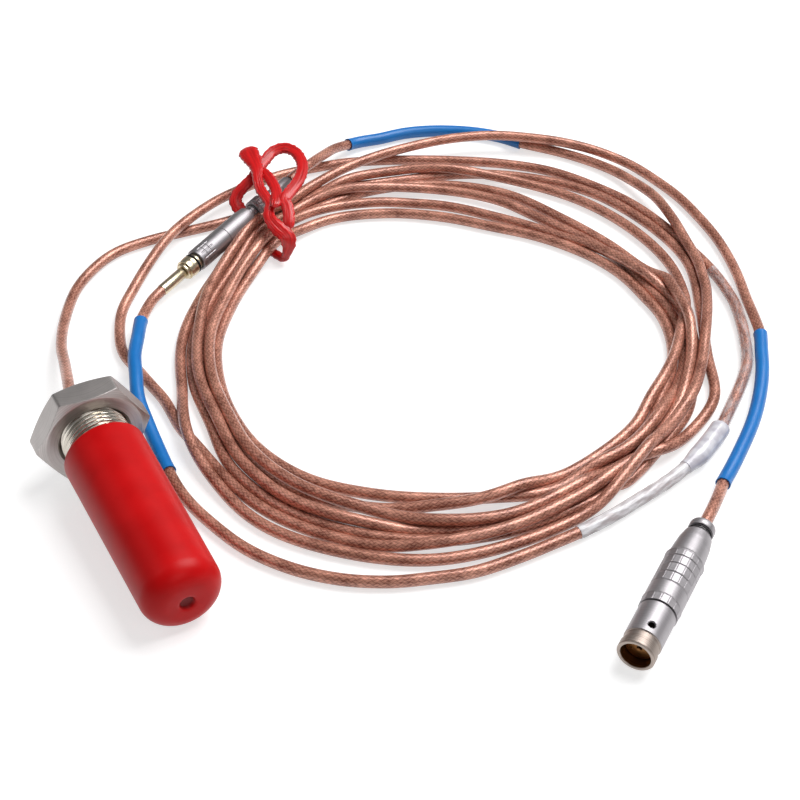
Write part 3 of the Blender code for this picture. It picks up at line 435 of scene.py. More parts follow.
def swept(name, line, stations, half_width, half_height, sides, face=(0, 0, 1), square=1.0):
    """A closed skin carried along a line.

    At each station, a distance along the line, it has a ring: cosine times the half width to the side, and
    sine times the half height towards the face, each taken to the power square, which flattens the ring when
    it is below 1. The skin's u runs round once and its v is the distance in metres.
    """
    distance, tangent = frames(line)
    stations = np.asarray(stations, float)
    at = np.stack([np.interp(stations, distance, line[:, k]) for k in range(3)], axis=1)
    tangent = np.stack([np.interp(stations, distance, tangent[:, k]) for k in range(3)], axis=1)
    side = np.cross(tangent, face)
    side /= np.linalg.norm(side, axis=1)[:, None]
    up = np.cross(side, tangent)
    up /= np.linalg.norm(up, axis=1)[:, None]
    turn = np.linspace(0, 2 * np.pi, sides, endpoint=False)
    wide, tall = ((np.sign(wave) * np.abs(wave) ** square)[:, None] for wave in (np.cos(turn), np.sin(turn)))
    half_width, half_height = (np.broadcast_to(half, len(stations))[:, None, None]
                               for half in (half_width, half_height))
    rings = at[:, None] + half_width * wide * side[:, None] + half_height * tall * up[:, None]
    ends = [np.repeat(at[k:k + 1, None], sides, axis=1) for k in (0, len(at) - 1)]
    rings = np.concatenate([ends[0], rings, ends[1]])
    u, v = np.meshgrid(np.arange(sides) / sides, np.concatenate([stations[:1], stations, stations[-1:]]))
    return closed(surface(name, rings, around=True, uv=np.stack([u, v], axis=-1)))


def closed(mesh, sharp=40):
    """Joins corners that lie together, drops the faces this closes up, and turns all faces outwards."""
    shape = bmesh.new()
    shape.from_mesh(mesh)
    bmesh.ops.remove_doubles(shape, verts=shape.verts, dist=1e-6)
    bmesh.ops.dissolve_degenerate(shape, edges=shape.edges, dist=1e-7)
    bmesh.ops.recalc_face_normals(shape, faces=shape.faces)
    shape.to_mesh(mesh)
    shape.free()
    mesh.shade_smooth()
    mesh.set_sharp_from_angle(angle=np.radians(sharp))
    return mesh


def skin(start):
    """Signals for the place round a swept skin, 0 to 1, and along it in metres."""
    place = start.node("ShaderNodeUVMap", {"uv_map": "skin"}, {})
    parts = start.node("ShaderNodeSeparateXYZ", {}, {0: place})
    return parts, Signal(start.tree, parts.socket.node.outputs["Y"])


def noise(start, scale, where, detail=2.0):
    """A soft random pattern; scale is in repeats per metre of where it is read."""
    return start.node("ShaderNodeTexNoise", {}, {"Vector": where, "Scale": scale, "Detail": detail})


def here(start):
    """The place in the part's own frame, in metres."""
    return start.node("ShaderNodeTexCoord", {}, {}, "Object")


# The braid's ribbons of fine wire cross over and under each other; RIBBONS go round the cable each way, and
# RIBBONS_PER_METRE pass along it. WIRES is the number of wires across a ribbon.
RIBBONS, RIBBONS_PER_METRE, WIRES = 10, 460, 3
copper, copper_shader, start = finish("copper_braid", paint(182, 110, 88), 0.35, coat_weight=0.5,
                                      coat_roughness=0.2, metallic=0.35)
around, along = skin(start)
left = around * RIBBONS + along * RIBBONS_PER_METRE
right = around * RIBBONS - along * RIBBONS_PER_METRE
over = (left.math("FLOOR", left) + right.math("FLOOR", right)) % 2
off_left, off_right = (side.math("ABSOLUTE", side % 1 - 0.5) for side in (left, right))
off = over * off_left + (1 - over) * off_right
wire = (over * left + (1 - over) * right) * WIRES
ridge = wire.math("ABSOLUTE", wire % 1 - 0.5)
level = (1 - off * off * 3.6) * 0.75 + ridge * 0.5
patchy = noise(start, 900, here(start), 4.0)
streaky = noise(start, 160, here(start))
# The colour follows the weave's height: darker in the dips between wires and at the ribbons' edges, which is
# painted shade, and lighter on their crowns, which is painted highlight. The noise adds a random patchy tone.
shade = level * 0.6 + patchy * 0.8 + streaky * 0.8 - 0.72
feed(copper_shader,
     base_color=shade.between(0.0, 1.0).mix(paint(118, 62, 44), paint(238, 170, 146)),
     roughness=0.44 - level * 0.1,
     bump=level * 0.000014)

probe_cable, extension_cable = (
    piece(name, swept(name, line, frames(line)[0], CABLE_D / 2, CABLE_D / 2, 16), copper, "probe",
          nodes)
    for name, line, nodes in (
        ("probe_cable", probe_line,
         ["probe_cable_out", "probe_cable_return", "probe_cable_lower", "plug_lead"]),
        ("extension_cable", extension_line,
         ["cable_coil", "socket_lead", "extension_cable_in", "extension_cable_out", "end_lead"])))

# Blue heat-shrink sleeves: three lengths shrunk on the cable, at the plug, behind the socket and at the end
# connector. Their cut ends stand open by a hair.
BLUE_R = 0.00215
BLUE_FLARE = 0.00012
SLEEVE_WALL = 0.0003
SLEEVE_BORE = CABLE_D / 2 + 0.00004
blue, blue_shader, start = finish("blue_shrink", paint(10, 120, 205), 0.40, coat_weight=0.15,
                                  coat_roughness=0.25)
around, along = skin(start)
spread = noise(start, 260, here(start))
feed(blue_shader,
     base_color=(spread * 0.7).mix(paint(0, 108, 190), paint(6, 134, 214)),
     roughness=0.34 + spread * 0.12,
     bump=noise(start, 900, here(start)) * 0.00003)


def sleeve_on(name, line, first, last, radius, material, node, flare=0.0, wave=0.0, neck=0.0):
    """A sleeve on a cable's line between two places in mm, its wall folded in at both cut ends.

    Its radius is constant but for a flare in the last 3 mm at each end, a slow sine wave along it, and a neck
    by which it narrows over its last 6 mm.
    """
    distance = frames(line)[0]
    low, high = distance[nearest(line, first)], distance[nearest(line, last)]
    at = np.linspace(low, high, max(6, round((high - low) / STEP)))
    wall = radius + flare * (np.exp(-(at - low) / 0.001) + np.exp(-(high - at) / 0.001))
    wall = wall + wave * np.sin(at * 1900) * np.sin(at * 730)
    wall = wall - neck * np.clip((at - high + 0.006) / 0.005, 0, 1)
    ends = [max(SLEEVE_BORE, wall[k] - SLEEVE_WALL) for k in (0, -1)]
    stations = [low + 0.002, low, *at, high, high - 0.002]
    radii = [SLEEVE_BORE, ends[0], *wall, ends[1], SLEEVE_BORE]
    return piece(name, swept(name, line, stations, radii, radii, 20), material, "probe", [node])


sleeves_on_probe = [
    sleeve_on("blue_shrink_plug", probe_line, BLUE_AT_PLUG[0], BLUE_AT_PLUG[-1], BLUE_R, blue,
              "blue_sleeve_plug", BLUE_FLARE)]
sleeves_on_extension = [
    sleeve_on("blue_shrink_" + end, extension_line, first, last, BLUE_R, blue,
              "blue_sleeve_" + end, BLUE_FLARE)
    for end, first, last in (("socket", SOCKET_LEAD[-1], BLUE_AT_SOCKET[-1]),
                             ("end", EXTENSION_OUT[-1], BLUE_AT_END[-1]))]

# Clear sleeves: thin clear tubing on the probe's cable, with a loose crinkled length, a wide milky collar
# that holds it, and a tight crinkled length through which the braid shows.
LOOSE_R, WIDE_R, TIGHT_R = 0.0021, 0.00305, 0.00198
clear = {}
for name, least, most in (("loose", 0.06, 0.32), ("tight", 0.7, 0.98)):
    clear[name], clear_shader, start = finish("clear_" + name, paint(226, 224, 231), 0.22)
    around, along = skin(start)
    fold = noise(start, 420, start.node("ShaderNodeCombineXYZ", {}, {0: around * 0.02, 1: along * 0.35}), 3.0)
    feed(clear_shader,
         base_color=fold.between(0.3, 0.7).mix(paint(214, 208, 212), paint(250, 249, 252)),
         alpha=least + fold.between(0.35, 0.65) * (most - least),
         bump=fold * 0.0005)
milky, milky_shader, start = finish("milky_tubing", paint(214, 212, 222), 0.30, coat_weight=0.6,
                                    coat_roughness=0.15)
haze = noise(start, 300, here(start))
feed(milky_shader,
     base_color=haze.between(0.3, 0.7).mix(paint(212, 209, 220), paint(240, 239, 245)),
     alpha=0.78 + haze * 0.2,
     bump=haze * 0.00008)
sleeves_on_probe += [
    sleeve_on("clear_tubing_loose", probe_line, PROBE_RETURN[-1], LOOSE_CLEAR[-1], LOOSE_R, clear["loose"],
              "clear_sleeve_loose", wave=0.00006),
    sleeve_on("clear_tubing_wide", probe_line, LOOSE_CLEAR[-1], WIDE_CLEAR[-1], WIDE_R, milky,
              "clear_sleeve_wide", neck=0.0009),
    sleeve_on("clear_tubing_tight", probe_line, WIDE_CLEAR[-1], TIGHT_CLEAR[-1], TIGHT_R, clear["tight"],
              "clear_sleeve_tight", wave=0.00007)]

# Red tie: a soft flat band of red plastic. It passes under the turns and the socket's neck; its ends are
# crossed and twisted over them, one folded into a lobe and one bent into an open loop.
red_plastic, red_shader, start = finish("tie_plastic", paint(222, 10, 14), 0.30, coat_weight=0.3,
                                        coat_roughness=0.12)
around, along = skin(start)
streak = noise(start, 500, start.node("ShaderNodeCombineXYZ", {}, {0: around * 0.03, 1: along * 0.12}), 3.0)
feed(red_shader,
     base_color=streak.between(0.3, 0.75).mix(paint(186, 0, 4), paint(240, 14, 18)),
     roughness=0.25 + streak * 0.2,
     bump=streak * 0.00045)
TIE_THICK = 0.0019
TIE_FACE = (-0.25, -0.5, 0.8)         # the way that the band's flat side looks
TIE_MAIN = ((98, 141, 19.3), (97, 133, 19.3), (96, 127, 19), (94, 122, 18.2), (93, 118, 17.2),
            (93, 114, 16.6), (93, 110, 15.8), (91.5, 107.5, 15), (90.3, 105, 14.4), (90.2, 102, 13.8),
            (91, 99, 12.8), (92.6, 96.2, 11), (92.6, 95.2, 8.2), (91.8, 95.3, 5), (91.2, 96.8, 2.3),
            (90.2, 100.5, 1.6), (89, 106, 1.5), (88, 111, 1.6), (87.5, 114.5, 2), (88, 118, 3.2),
            (88.2, 121, 4.8), (87.3, 124, 7), (86.8, 126, 9), (88.2, 127.2, 11), (91, 127.4, 13.3),
            (94.5, 128.3, 14.9), (98, 130.8, 16.2), (102, 133.3, 17.4), (106, 135.3, 18.6),
            (110.2, 134.3, 19.3), (112.2, 129.5, 19.4), (111.2, 122.5, 19.2), (108.3, 117.2, 18.9),
            (104.5, 113, 18.6), (100, 109.5, 18.2), (97.3, 107.3, 17.6), (97, 104.8, 16.8),
            (96.2, 102, 15.6), (95, 99.5, 14.2), (94, 97.5, 12.6))
TIE_MAIN_WIDTHS = ((0, 3.6), (5, 3.5), (12, 2.4), (18, 1.8), (34, 1.8), (40, 2.2), (44, 2.7), (50, 2.7),
                   (54, 1.6), (66, 1.5), (76, 1.6), (82, 2.4), (90, 2.3), (96, 2), (130, 2), (148, 2.1),
                   (161, 2))
TIE_FOLD = ((98, 128.5, 17.4), (98.3, 124, 17.6), (98, 119, 17.7), (97, 113.5, 17.6), (94.8, 108.5, 17.6),
            (92.6, 105.5, 17))
TIE_FOLD_WIDTHS = ((0, 1.6), (6, 1.9), (20, 1.9), (26, 1.7))


def tie_run(name, knots, widths, node):
    """The band along its knots, with its ends rounded off.

    Widths are pairs of a distance along it and its half width there, in mm. Two sine waves crinkle its edges,
    and it narrows at both ends as a circle does.
    """
    line = smooth_path(in_metres(knots), 0.0008)
    distance = frames(line)[0]
    half = np.interp(distance * 1000, *zip(*widths)) / 1000
    half = half * (1 + 0.06 * np.sin(distance * 2600) + 0.04 * np.sin(distance * 4100))
    inwards = np.minimum(distance, distance[-1] - distance) / half
    tip = np.sqrt(np.clip(1 - (1 - np.clip(inwards, 0, 1)) ** 2, 0.05, 1))
    skin_mesh = swept(name, line, distance, half * tip, TIE_THICK / 2 * tip, 20, TIE_FACE, square=0.75)
    return piece(name, skin_mesh, red_plastic, "probe", [node])


tie_run("tie_main", TIE_MAIN, TIE_MAIN_WIDTHS, "twist_tie")
tie_run("tie_fold", TIE_FOLD, TIE_FOLD_WIDTHS, "twist_tie_strand")

# Probe: a stainless tube with an M20 fine thread, closed by an insulating tip. Behind the tip sit the bobbin
# and its winding, set in resin. The cable leaves through a small ferrule at the rear.
PROBE_AXIS = np.array(((0, 0.028231, 0.015024), -BACKWARD, (0, -0.05592, 0.998435), (1, 0, 0)))


def about_axis(axis, at, radius, turn):
    """Points round an axis, whose rows are its place, its direction, a way up and a way to the side.

    A point is the place, plus along times the direction, plus the radius times the cosine of the angle
    upwards and the sine to the side. Along and the radius are in mm.
    """
    return (axis[0] + at[..., None] / 1000 * axis[1] + (radius * np.cos(turn))[..., None] / 1000 * axis[2]
            + (radius * np.sin(turn))[..., None] / 1000 * axis[3])


def turned(name, axis, outline, sides, relief=None, fine=None, ring=True):
    """A body turned about an axis from its outline of (along, radius) in mm.

    fine splits the outline's sides into steps of that many mm, relief gives the radius to add in mm from the
    place along, the radius and the angle, and ring joins the outline's last point to its first.
    """
    outline = np.array(outline, float)
    after = np.roll(outline, -1, axis=0) if ring else outline[1:]
    before = outline if ring else outline[:-1]
    if fine:
        counts = np.maximum(1, np.round(np.linalg.norm(after - before, axis=1) / fine)).astype(int)
        runs = [a + (b - a) * np.arange(n)[:, None] / n for a, b, n in zip(before, after, counts)]
        outline = np.vstack(runs + ([] if ring else [outline[-1:]]))
    turn = np.linspace(0, 2 * np.pi, sides, endpoint=False)
    at, radius = outline[:, :1] + 0 * turn, outline[:, 1:] + 0 * turn
    if relief:
        radius = radius + relief(at, radius, turn[None, :])
    return closed(surface(name, about_axis(axis, at, radius, turn), around=True, along=ring))


def turned_piece(name, axis, outline, sides, material, slot, node, body="probe", **shape):
    """A turned body as a finished piece."""
    return piece(name, turned(name, axis, outline, sides, **shape), material, body, [node])


def along_and_out(start, axis):
    """Signals for the distance along an axis and the distance from it, both in metres."""
    rel = start.node("ShaderNodeVectorMath", {"operation": "SUBTRACT"}, {0: here(start), 1: axis[0].tolist()})
    run, high, side = (start.node("ShaderNodeVectorMath", {"operation": "DOT_PRODUCT"},
                                  {0: rel, 1: direction.tolist()}, "Value") for direction in axis[1:])
    return run, rel.math("SQRT", high * high + side * side)


def metal(name, axis, dark, light, roughness, lines, depth):
    """Turned metal: fine rings round the axis, so many a metre, that vary in colour, gloss and height."""
    made, shader, start = finish(name, light, roughness, metallic=1.0)
    run, radial = along_and_out(start, axis)
    rings = start.node("ShaderNodeTexNoise", {"noise_dimensions": "1D"},
                       {"W": run + radial, "Scale": lines, "Detail": 3.0})
    wear = noise(start, 220, here(start), 4.0)
    feed(shader,
         base_color=(rings * 0.7 + wear * 0.3).between(0.25, 0.75).mix(dark, light),
         roughness=roughness - 0.02 + wear * 0.04,
         bump=rings * depth)
    return made


def mottled(name, colour, dark, light, scale, roughness, gloss_change, contrast=0.2, depth=0):
    """A plain finish with a soft speckle in its colour, its gloss and, where depth is given, its height.

    Of the two values of roughness, the first is the plain one and the second is where the speckle starts.
    """
    made, shader, start = finish(name, colour, roughness[0])
    speck = noise(start, scale, here(start))
    feed(shader, base_color=speck.between(0.5 - contrast, 0.5 + contrast).mix(dark, light),
         roughness=roughness[1] + speck * gloss_change)
    if depth:
        feed(shader, bump=speck * depth)
    return made


def dress(node, material):
    """Gives a CAD node a finer material."""
    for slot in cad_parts[node].material_slots:
        slot.material = material


THREAD_PITCH = 1.5
THREAD_DEPTH = 0.88
CASE_REAR, CASE_FRONT = -9.3, 56
steel = metal("thread_steel", PROBE_AXIS, paint(186, 178, 166), paint(226, 220, 210), 0.22, 2500, 0.000001)


def thread(at, radius, angle):
    """A rounded groove that runs round as a helix, fading out at both ends of the case."""
    depth = THREAD_DEPTH / 2 * (1 + np.cos(2 * np.pi * at / THREAD_PITCH + angle))
    ends = np.clip((at - CASE_REAR) / 0.8, 0, 1) * np.clip((CASE_FRONT - at) / 0.8, 0, 1)
    return -depth * ends * (radius > 9)


case_outline = [(CASE_REAR, 2.1), (CASE_REAR, 9.2)]
case_outline += [(at, 10) for at in np.linspace(CASE_REAR + 0.8, CASE_FRONT - 0.8, 426)]
case_outline += [(CASE_FRONT, 9.2), (CASE_FRONT, 8.4), (-6.3, 8.4), (-6.3, 2.1)]
turned_piece("threaded_case", PROBE_AXIS, case_outline, 144, steel, "steel", "probe_case", relief=thread)
dress("probe_tip", mottled("tip_ceramic", paint(205, 198, 180), paint(196, 188, 168), paint(214, 208, 192),
                           2500, (0.45, 0.4), 0.15, contrast=0.1, depth=0.00002))
dress("potting", mottled("resin", paint(40, 40, 44), paint(30, 30, 33), paint(54, 54, 60), 700,
                         (0.5, 0.42), 0.2))
nylon = mottled("white_nylon", paint(226, 223, 212), paint(216, 212, 198), paint(232, 230, 222), 900,
                (0.42, 0.36), 0.14)
dress("coil_former", nylon)
dress("coil_winding", metal("winding_wire", PROBE_AXIS, paint(120, 60, 24), paint(214, 126, 66), 0.3, 5000,
                            0.00003))
turned_piece("rear_ferrule", PROBE_AXIS, ((-12.7, 1.85), (-12.7, 2.6), (-12.3, 3), (-9.6, 3), (-9.6, 1.8),
                                          (-7.8, 1.8), (-7.8, 1.0)), 48, steel, "steel", "cable_ferrule")

# Lock nut: a stainless M20 hexagon nut, turned to a shallow cone on both faces so that its corners carry
# curved facets. It turns on the case's thread.
NUT_BACK, NUT_FACE, NUT_BORE = -6.8, 1.1, 10.2
NUT_HALF_FLAT = 15.0
CONE_START, CONE_SLOPE = 14.4, np.tan(np.radians(22))
nut_metal = metal("nut_steel_turned", PROBE_AXIS, paint(172, 167, 165), paint(200, 194, 192), 0.40, 4200,
                  0.000004)


def hexagon(angle, half_flat, power=90):
    """Radius of a hexagon with rounded corners.

    It is half the width over the power mean of the cosines of the angles to its flats.
    """
    flats = np.radians(60 * np.arange(6))
    cosines = np.clip(np.cos(angle[..., None] - flats), 0, 1)
    return half_flat / np.sum(cosines ** power, axis=-1) ** (1 / power)


def nut_surface():
    """Rings from the bore out over each face and down the flats.

    A face is level as far as the cone's start, and beyond it falls by the slope times the distance. The
    bore's edge and the outer corner are broken by small bevels.
    """
    turn = np.linspace(0, 2 * np.pi, 360, endpoint=False)
    corner = hexagon(turn, NUT_HALF_FLAT)
    cone = CONE_START + 0.05
    rings = []
    for face, sign in ((NUT_FACE, -1), (NUT_BACK, 1)):
        radii = [radius + 0 * turn for radius in (NUT_BORE, NUT_BORE + 0.8, NUT_BORE + 0.82, 13.0,
                                                  CONE_START - 0.05, cone)]
        radii += [cone + (corner - cone) * 0.5, corner - 0.1, corner]
        levels = [face + sign * np.clip(radius - CONE_START, 0, None) * CONE_SLOPE for radius in radii]
        levels[0] = levels[0] + sign * 0.8
        levels[-1] = levels[-1] + sign * 0.1
        side = [np.stack([level, radius], axis=-1) for level, radius in zip(levels, radii)]
        rings += side if sign < 0 else side[::-1]
    rings = np.array(rings)
    points = about_axis(PROBE_AXIS, rings[..., 0], rings[..., 1], turn)
    return closed(surface("hex_nut", points, around=True, along=True), 14)


piece("hex_nut", nut_surface(), nut_metal, "nut", ["lock_nut"])

# Protective cap: a soft red dipped cap pushed over the probe's front. It tapers slightly to a round end with
# a shallow dimple.
cap_red, cap_shader, start = finish("cap_red", paint(200, 4, 8), 0.40, specular_ior_level=0.2)
cloud = noise(start, 90, here(start), 3.0)
grain = noise(start, 3000, here(start), 2.0)
run, radial = along_and_out(start, PROBE_AXIS)
# The dimple in the cap's round end is painted a darker red: painted shade in the recess.
dimple_painted_shade = (1 - radial.between(0.0017, 0.0024)) * run.between(0.066, 0.067)
feed(cap_shader,
     base_color=dimple_painted_shade.mix(cloud.between(0.3, 0.7).mix(paint(196, 2, 6), paint(210, 8, 12)),
                           paint(120, 4, 6)),
     roughness=0.34 + cloud * 0.08,
     bump=grain * 0.000006)
CAP_R, CAP_TAPER = 12.1, 0.0109       # radius in mm near the mouth, and what it loses with each mm
CAP_END, CAP_END_R, CAP_CORNER = 69.1, 11.504, 6.0
round_end = np.radians(np.linspace(0, 90, 19))
cap_outline = [(9.1, 10.3), (8.7, 10.45), (8.5, 10.8), (8.5, 11.3), (8.62, 11.75), (8.95, 12.03), (9.5, 12.1)]
cap_outline += [(at, CAP_R - CAP_TAPER * (at - 8.5)) for at in range(13, 63, 5)]
cap_outline += list(zip(CAP_END - CAP_CORNER + CAP_CORNER * np.sin(round_end),
                        CAP_END_R - CAP_CORNER + CAP_CORNER * np.cos(round_end)))
cap_outline += [(CAP_END, 3.2), (CAP_END - 0.08, 2.6), (CAP_END - 0.35, 2.2), (CAP_END - 0.9, 2.0),
                (CAP_END - 1.15, 1.7), (CAP_END - 1.2, 1.2), (CAP_END - 1.2, 0), (65.5, 0), (65.5, 7.3),
                (65.1, 8.8), (64, 9.9), (62.5, 10.3)]
turned_piece("dipped_cap", PROBE_AXIS, cap_outline, 96, cap_red, "red_cap", "protective_cap", body="cap")

# Inline connector: a small push-pull plug and socket. The plug has a crimped ferrule, a stepped collar with
# two spanner flats, a rubber ring and a sliding latch sleeve; the socket has a grooved neck, a knurled
# clamping nut and a tail.
INLINE_AXIS = np.array((PLUG_EXIT, INLINE_FORWARD, (-0.085793, -0.042826, 0.995392), (-0.44663, 0.894719, 0)))
gilt = metal("pale_gold", INLINE_AXIS, paint(200, 186, 158), paint(226, 214, 188), 0.32, 6000, 0.000004)
chrome_inline = metal("satin_inline", INLINE_AXIS, paint(150, 146, 149), paint(174, 170, 173), 0.5, 5000,
                      0.000006)
rubber = mottled("ring_rubber", paint(24, 22, 24), paint(16, 15, 17), paint(40, 38, 40), 1500, (0.5, 0.4),
                 0.2)


COLLAR_FLAT, COLLAR_TURN = 3.15, 0.9  # from the axis to a spanner flat in mm, and the flats' angle


def collar_flats(at, radius, angle):
    """Two flats on the collar, and a fine groove round it in front of them."""
    flat = np.minimum(0, COLLAR_FLAT / np.maximum(np.abs(np.cos(angle - COLLAR_TURN)), 0.05) - radius)
    return (radius > 3) * (flat * (at > 11.9) * (at < 13.6) - 0.12 * (np.abs(at - 13.8) < 0.16))


MARK_ROWS, MARK_LINES, LATCH_GROOVE = (18.8, 24.4), (20.6, 22.6), 32.0
MARKS_ROUND = 12


def latch_marks(at, radius, angle):
    """Rows of small pads near the rear of the sleeve, and a thin groove round it in front of them."""
    outer = radius > 3.2
    wave = np.clip(np.cos(angle * MARKS_ROUND) * 4 - 2.6, 0, 1)
    rows = np.clip((at - MARK_ROWS[0]) / 0.3, 0, 1) * np.clip((MARK_ROWS[1] - at) / 0.3, 0, 1)
    lines = np.maximum(*(np.abs(at - place) < 0.12 for place in MARK_LINES))
    groove = np.abs(at - LATCH_GROOVE) < 0.15
    return -1.0 * outer * (0.16 * wave * rows + 0.12 * lines * rows + 0.16 * groove)


KNURL_RIBS, KNURL_GROOVE = 24, 49.4


def nut_knurl(at, radius, angle):
    """Straight knurling: shallow rounded ribs round the nut, cut through by one groove."""
    ribs = 0.13 * (0.5 - 0.5 * np.cos(angle * KNURL_RIBS))
    return -1.0 * (radius > 3.3) * (ribs + 0.2 * (np.abs(at - KNURL_GROOVE) < 0.2))


ring_turn = np.linspace(0, 2 * np.pi, 20, endpoint=False)
ring_outline = [(16 + 0.32 * np.cos(a) * (1 - 0.35 * np.cos(2 * a) ** 8), 3.12 + 0.36 * np.sin(a))
                for a in ring_turn]
inline = [
    turned_piece("plug_crimp", INLINE_AXIS,
                 ((0, 0), (0, 1.8), (0.15, 1.95), (10.2, 1.95), (10.5, 1.7), (10.5, 0)),
                 48, gilt, "gold", "crimp_ferrule", ring=False),
    turned_piece("plug_stepped_collar", INLINE_AXIS,
                 ((10.8, 0), (10.8, 2.6), (11, 2.8), (11.8, 2.8), (11.8, 3.3), (12, 3.45), (15.2, 3.45),
                  (15.4, 3.25), (15.4, 2.8), (21.3, 2.8), (21.3, 0)),
                 72, gilt, "gold", "plug_collar", relief=collar_flats, fine=0.16, ring=False),
    turned_piece("plug_rubber_ring", INLINE_AXIS, ring_outline, 48, rubber, "black_ring", "plug_ring"),
    turned_piece("plug_latch_sleeve", INLINE_AXIS,
                 ((17.6, 3.1), (17.6, 3.6), (17.8, 3.8), (41, 3.8), (44.8, 3.45), (45, 3.3), (45, 3.1)),
                 144, chrome_inline, "satin_chrome", "latch_sleeve", "plug_sleeve", relief=latch_marks,
                 fine=0.15),
    turned_piece("socket_clamp_nut", INLINE_AXIS,
                 ((48, 2.8), (48, 3.35), (48.25, 3.6), (52.75, 3.6), (53, 3.35), (53, 2.8)),
                 192, chrome_inline, "satin_chrome", "socket_nut", relief=nut_knurl, fine=0.2),
    turned_piece("socket_body", INLINE_AXIS,
                 ((40.3, 2.0), (40.3, 2.7), (45.2, 2.7), (45.3, 2.5), (46, 2.5), (46.1, 2.3), (46.5, 2.3),
                  (46.6, 2.5), (47.1, 2.5), (47.2, 2.3), (47.6, 2.3), (47.7, 2.5), (54.8, 2.5), (55, 2.2),
                  (66.9, 2.2), (68, 1.4), (68.3, 1.2), (68.3, 0), (46.3, 0), (46.3, 2.0)),
                 72, chrome_inline, "satin_chrome", "socket_shell", ring=False)]
dress("plug_insulator", nylon)

# End connector: a larger push-pull connector with a collet nut and its rubber ring, a sliding grip shell with
# rows of flat pads, and a fixed front barrel, which has a marker hole, a stepped nickel rim and an open brass
# bore with one contact. The plug's pin is of the same brass.
END_AXIS = np.array((COLLET_EXIT, END_FORWARD, (0, 0, 1), (0.565818, -0.82453, 0)))
brass = metal("contact_brass", END_AXIS, paint(104, 66, 34), paint(168, 120, 72), 0.28, 5000, 0.000008)
for node in ("plug_pin", "end_insert", "end_contact"):
    dress(node, brass)
chrome_end = metal("satin_end", END_AXIS, paint(164, 160, 163), paint(188, 184, 187), 0.5, 5200, 0.000004)
SHELL_R = 5.65
PAD_FLAT = 5.44                       # from the axis to a pad's flat, in mm
PAD_REAR, PAD_FRONT = (15.8, 28.1), 33.2
GROOVES = (18.1, 21.4, 24.7, 28.1)
GROOVE_DEPTH, BAND_DEPTH, SEAM_DEPTH = 0.34, 0.18, 0.13


def pads(at, radius, angle):
    """Sixteen flats round the shell: four rows parted by grooves, and a short row before a plain band."""
    outer = radius > 5.2
    sector = (angle % (np.pi / 8)) - np.pi / 16
    flat = np.minimum(0, PAD_FLAT / np.cos(sector) - radius) - SEAM_DEPTH * (np.abs(sector) > 0.165)
    rear = np.clip((at - PAD_REAR[0]) / 0.3, 0, 1) * np.clip((PAD_REAR[1] - at) / 0.2, 0, 1)
    front = np.clip((at - PAD_FRONT) / 0.2, 0, 1)
    band = np.clip((at - PAD_REAR[1] - 0.1) / 0.2, 0, 1) * np.clip((PAD_FRONT - at) / 0.2, 0, 1)
    grooves = sum(np.exp(-((at - place) / 0.17) ** 4) for place in GROOVES)
    cuts = BAND_DEPTH * band + GROOVE_DEPTH * np.minimum(grooves, 1)
    return outer * (flat * np.maximum(rear, front) - cuts)


MARKER_AT, MARKER_ANGLE, MARKER_R, MARKER_DEPTH = 44.5, 0.22, 1.15, 0.9


def marker_hole(at, radius, angle):
    """A round pit in the barrel's top: full depth within its radius, and a steep wall."""
    round_it = (angle - MARKER_ANGLE + np.pi) % (2 * np.pi) - np.pi
    off = np.hypot(at - MARKER_AT, radius * round_it)
    return -MARKER_DEPTH * (radius > 5.1) * np.clip((MARKER_R - off) / 0.16, 0, 1)


barrel, barrel_shader, start = finish("barrel_satin", paint(200, 197, 201), 0.36, metallic=1.0)
run, radial = along_and_out(start, END_AXIS)
rings = start.node("ShaderNodeTexNoise", {"noise_dimensions": "1D"},
                   {"W": run, "Scale": 5200.0, "Detail": 3.0})
nickel = run.between(0.0470, 0.0471)
inside = 1 - radial.between(0.00412, 0.00425)
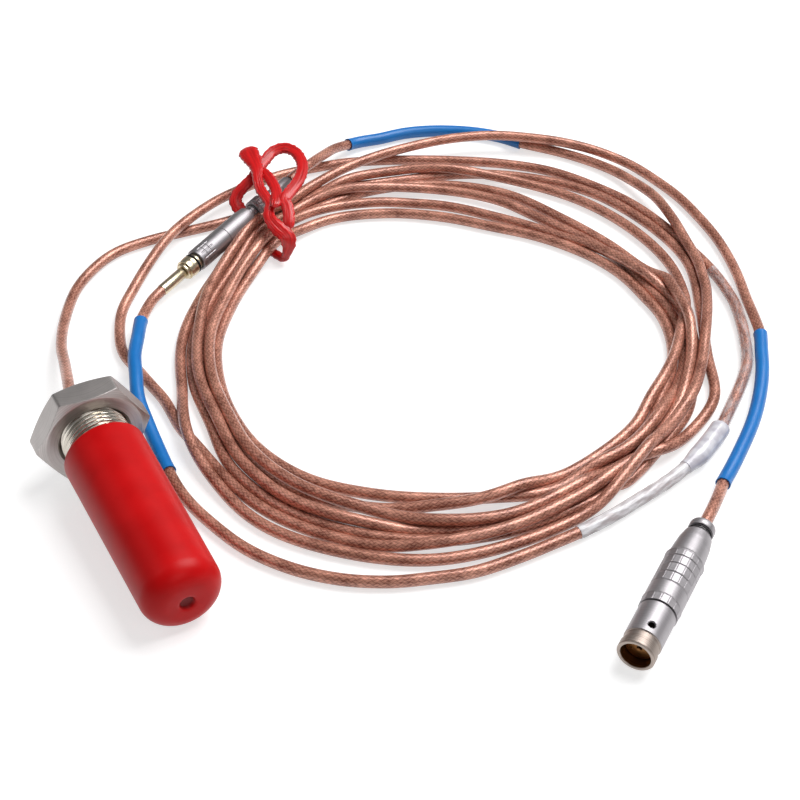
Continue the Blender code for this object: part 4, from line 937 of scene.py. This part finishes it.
# The bore's floor and its wall up to 46.5 mm are painted near black: painted shade in the depth of the bore.
bore_bottom_painted_shade = (1 - radial.between(0.0045, 0.0050)) * (1 - run.between(0.0464, 0.0467))
plain, rim_tone, bore_tone = (rings.between(0.3, 0.7).mix(paint(*dark), paint(*light)) for dark, light in (
    ((164, 160, 163), (188, 184, 187)), ((140, 126, 118), (186, 174, 166)), ((84, 52, 28), (140, 96, 58))))
feed(barrel_shader,
     base_color=bore_bottom_painted_shade.mix(inside.mix(nickel.mix(plain, rim_tone), bore_tone), paint(20, 16, 14)),
     roughness=0.46 + rings * 0.08 + bore_bottom_painted_shade * 0.4,
     bump=rings * 0.000004)
ring_turn = np.linspace(0, 2 * np.pi, 16, endpoint=False)
end_pieces = [
    turned_piece("end_collet", END_AXIS,
                 ((0, 0), (0, 3.1), (0.4, 3.6), (0.8, 3.75), (2.4, 3.75), (2.6, 3.6), (2.6, 2.8), (9.5, 2.8),
                  (9.5, 0)),
                 64, chrome_end, "satin_chrome", "collet_nut", ring=False),
    turned_piece("end_rubber_ring", END_AXIS,
                 [(3.2 + 0.2 * np.cos(a), 3.25 + 0.25 * np.sin(a)) for a in ring_turn],
                 48, rubber, "black_ring", "end_ring"),
    turned_piece("end_grip_shell", END_AXIS,
                 ((4.8, 3.1), (4.8, 3.9), (5, 4.1), (8, 4.65), (11, 4.9), (14.9, 5.15), (15.7, SHELL_R),
                  (35.7, SHELL_R), (35.9, 5.5), (35.9, 4.75), (17, 4.75), (16, 4.4), (11.7, 4.4),
                  (10.8, 3.1)),
                 192, chrome_end, "satin_chrome", "grip_shell", "end_sleeve", relief=pads, fine=0.17),
    turned_piece("end_front_barrel", END_AXIS,
                 ((28.2, 0), (28.2, 4.45), (36.2, 4.45), (36.2, 5.05), (36.4, 5.2), (47, 5.2), (47.1, 5.05),
                  (47.3, 4.85), (49.4, 4.85), (49.5, 5), (49.7, 5.2), (51.8, 5.2), (52.1, 4.95), (52.1, 4.3),
                  (51.8, 4.1), (45.1, 4.1), (45.1, 0)),
                 192, barrel, "satin_chrome", "front_barrel", relief=marker_hole, fine=0.17, ring=False)]
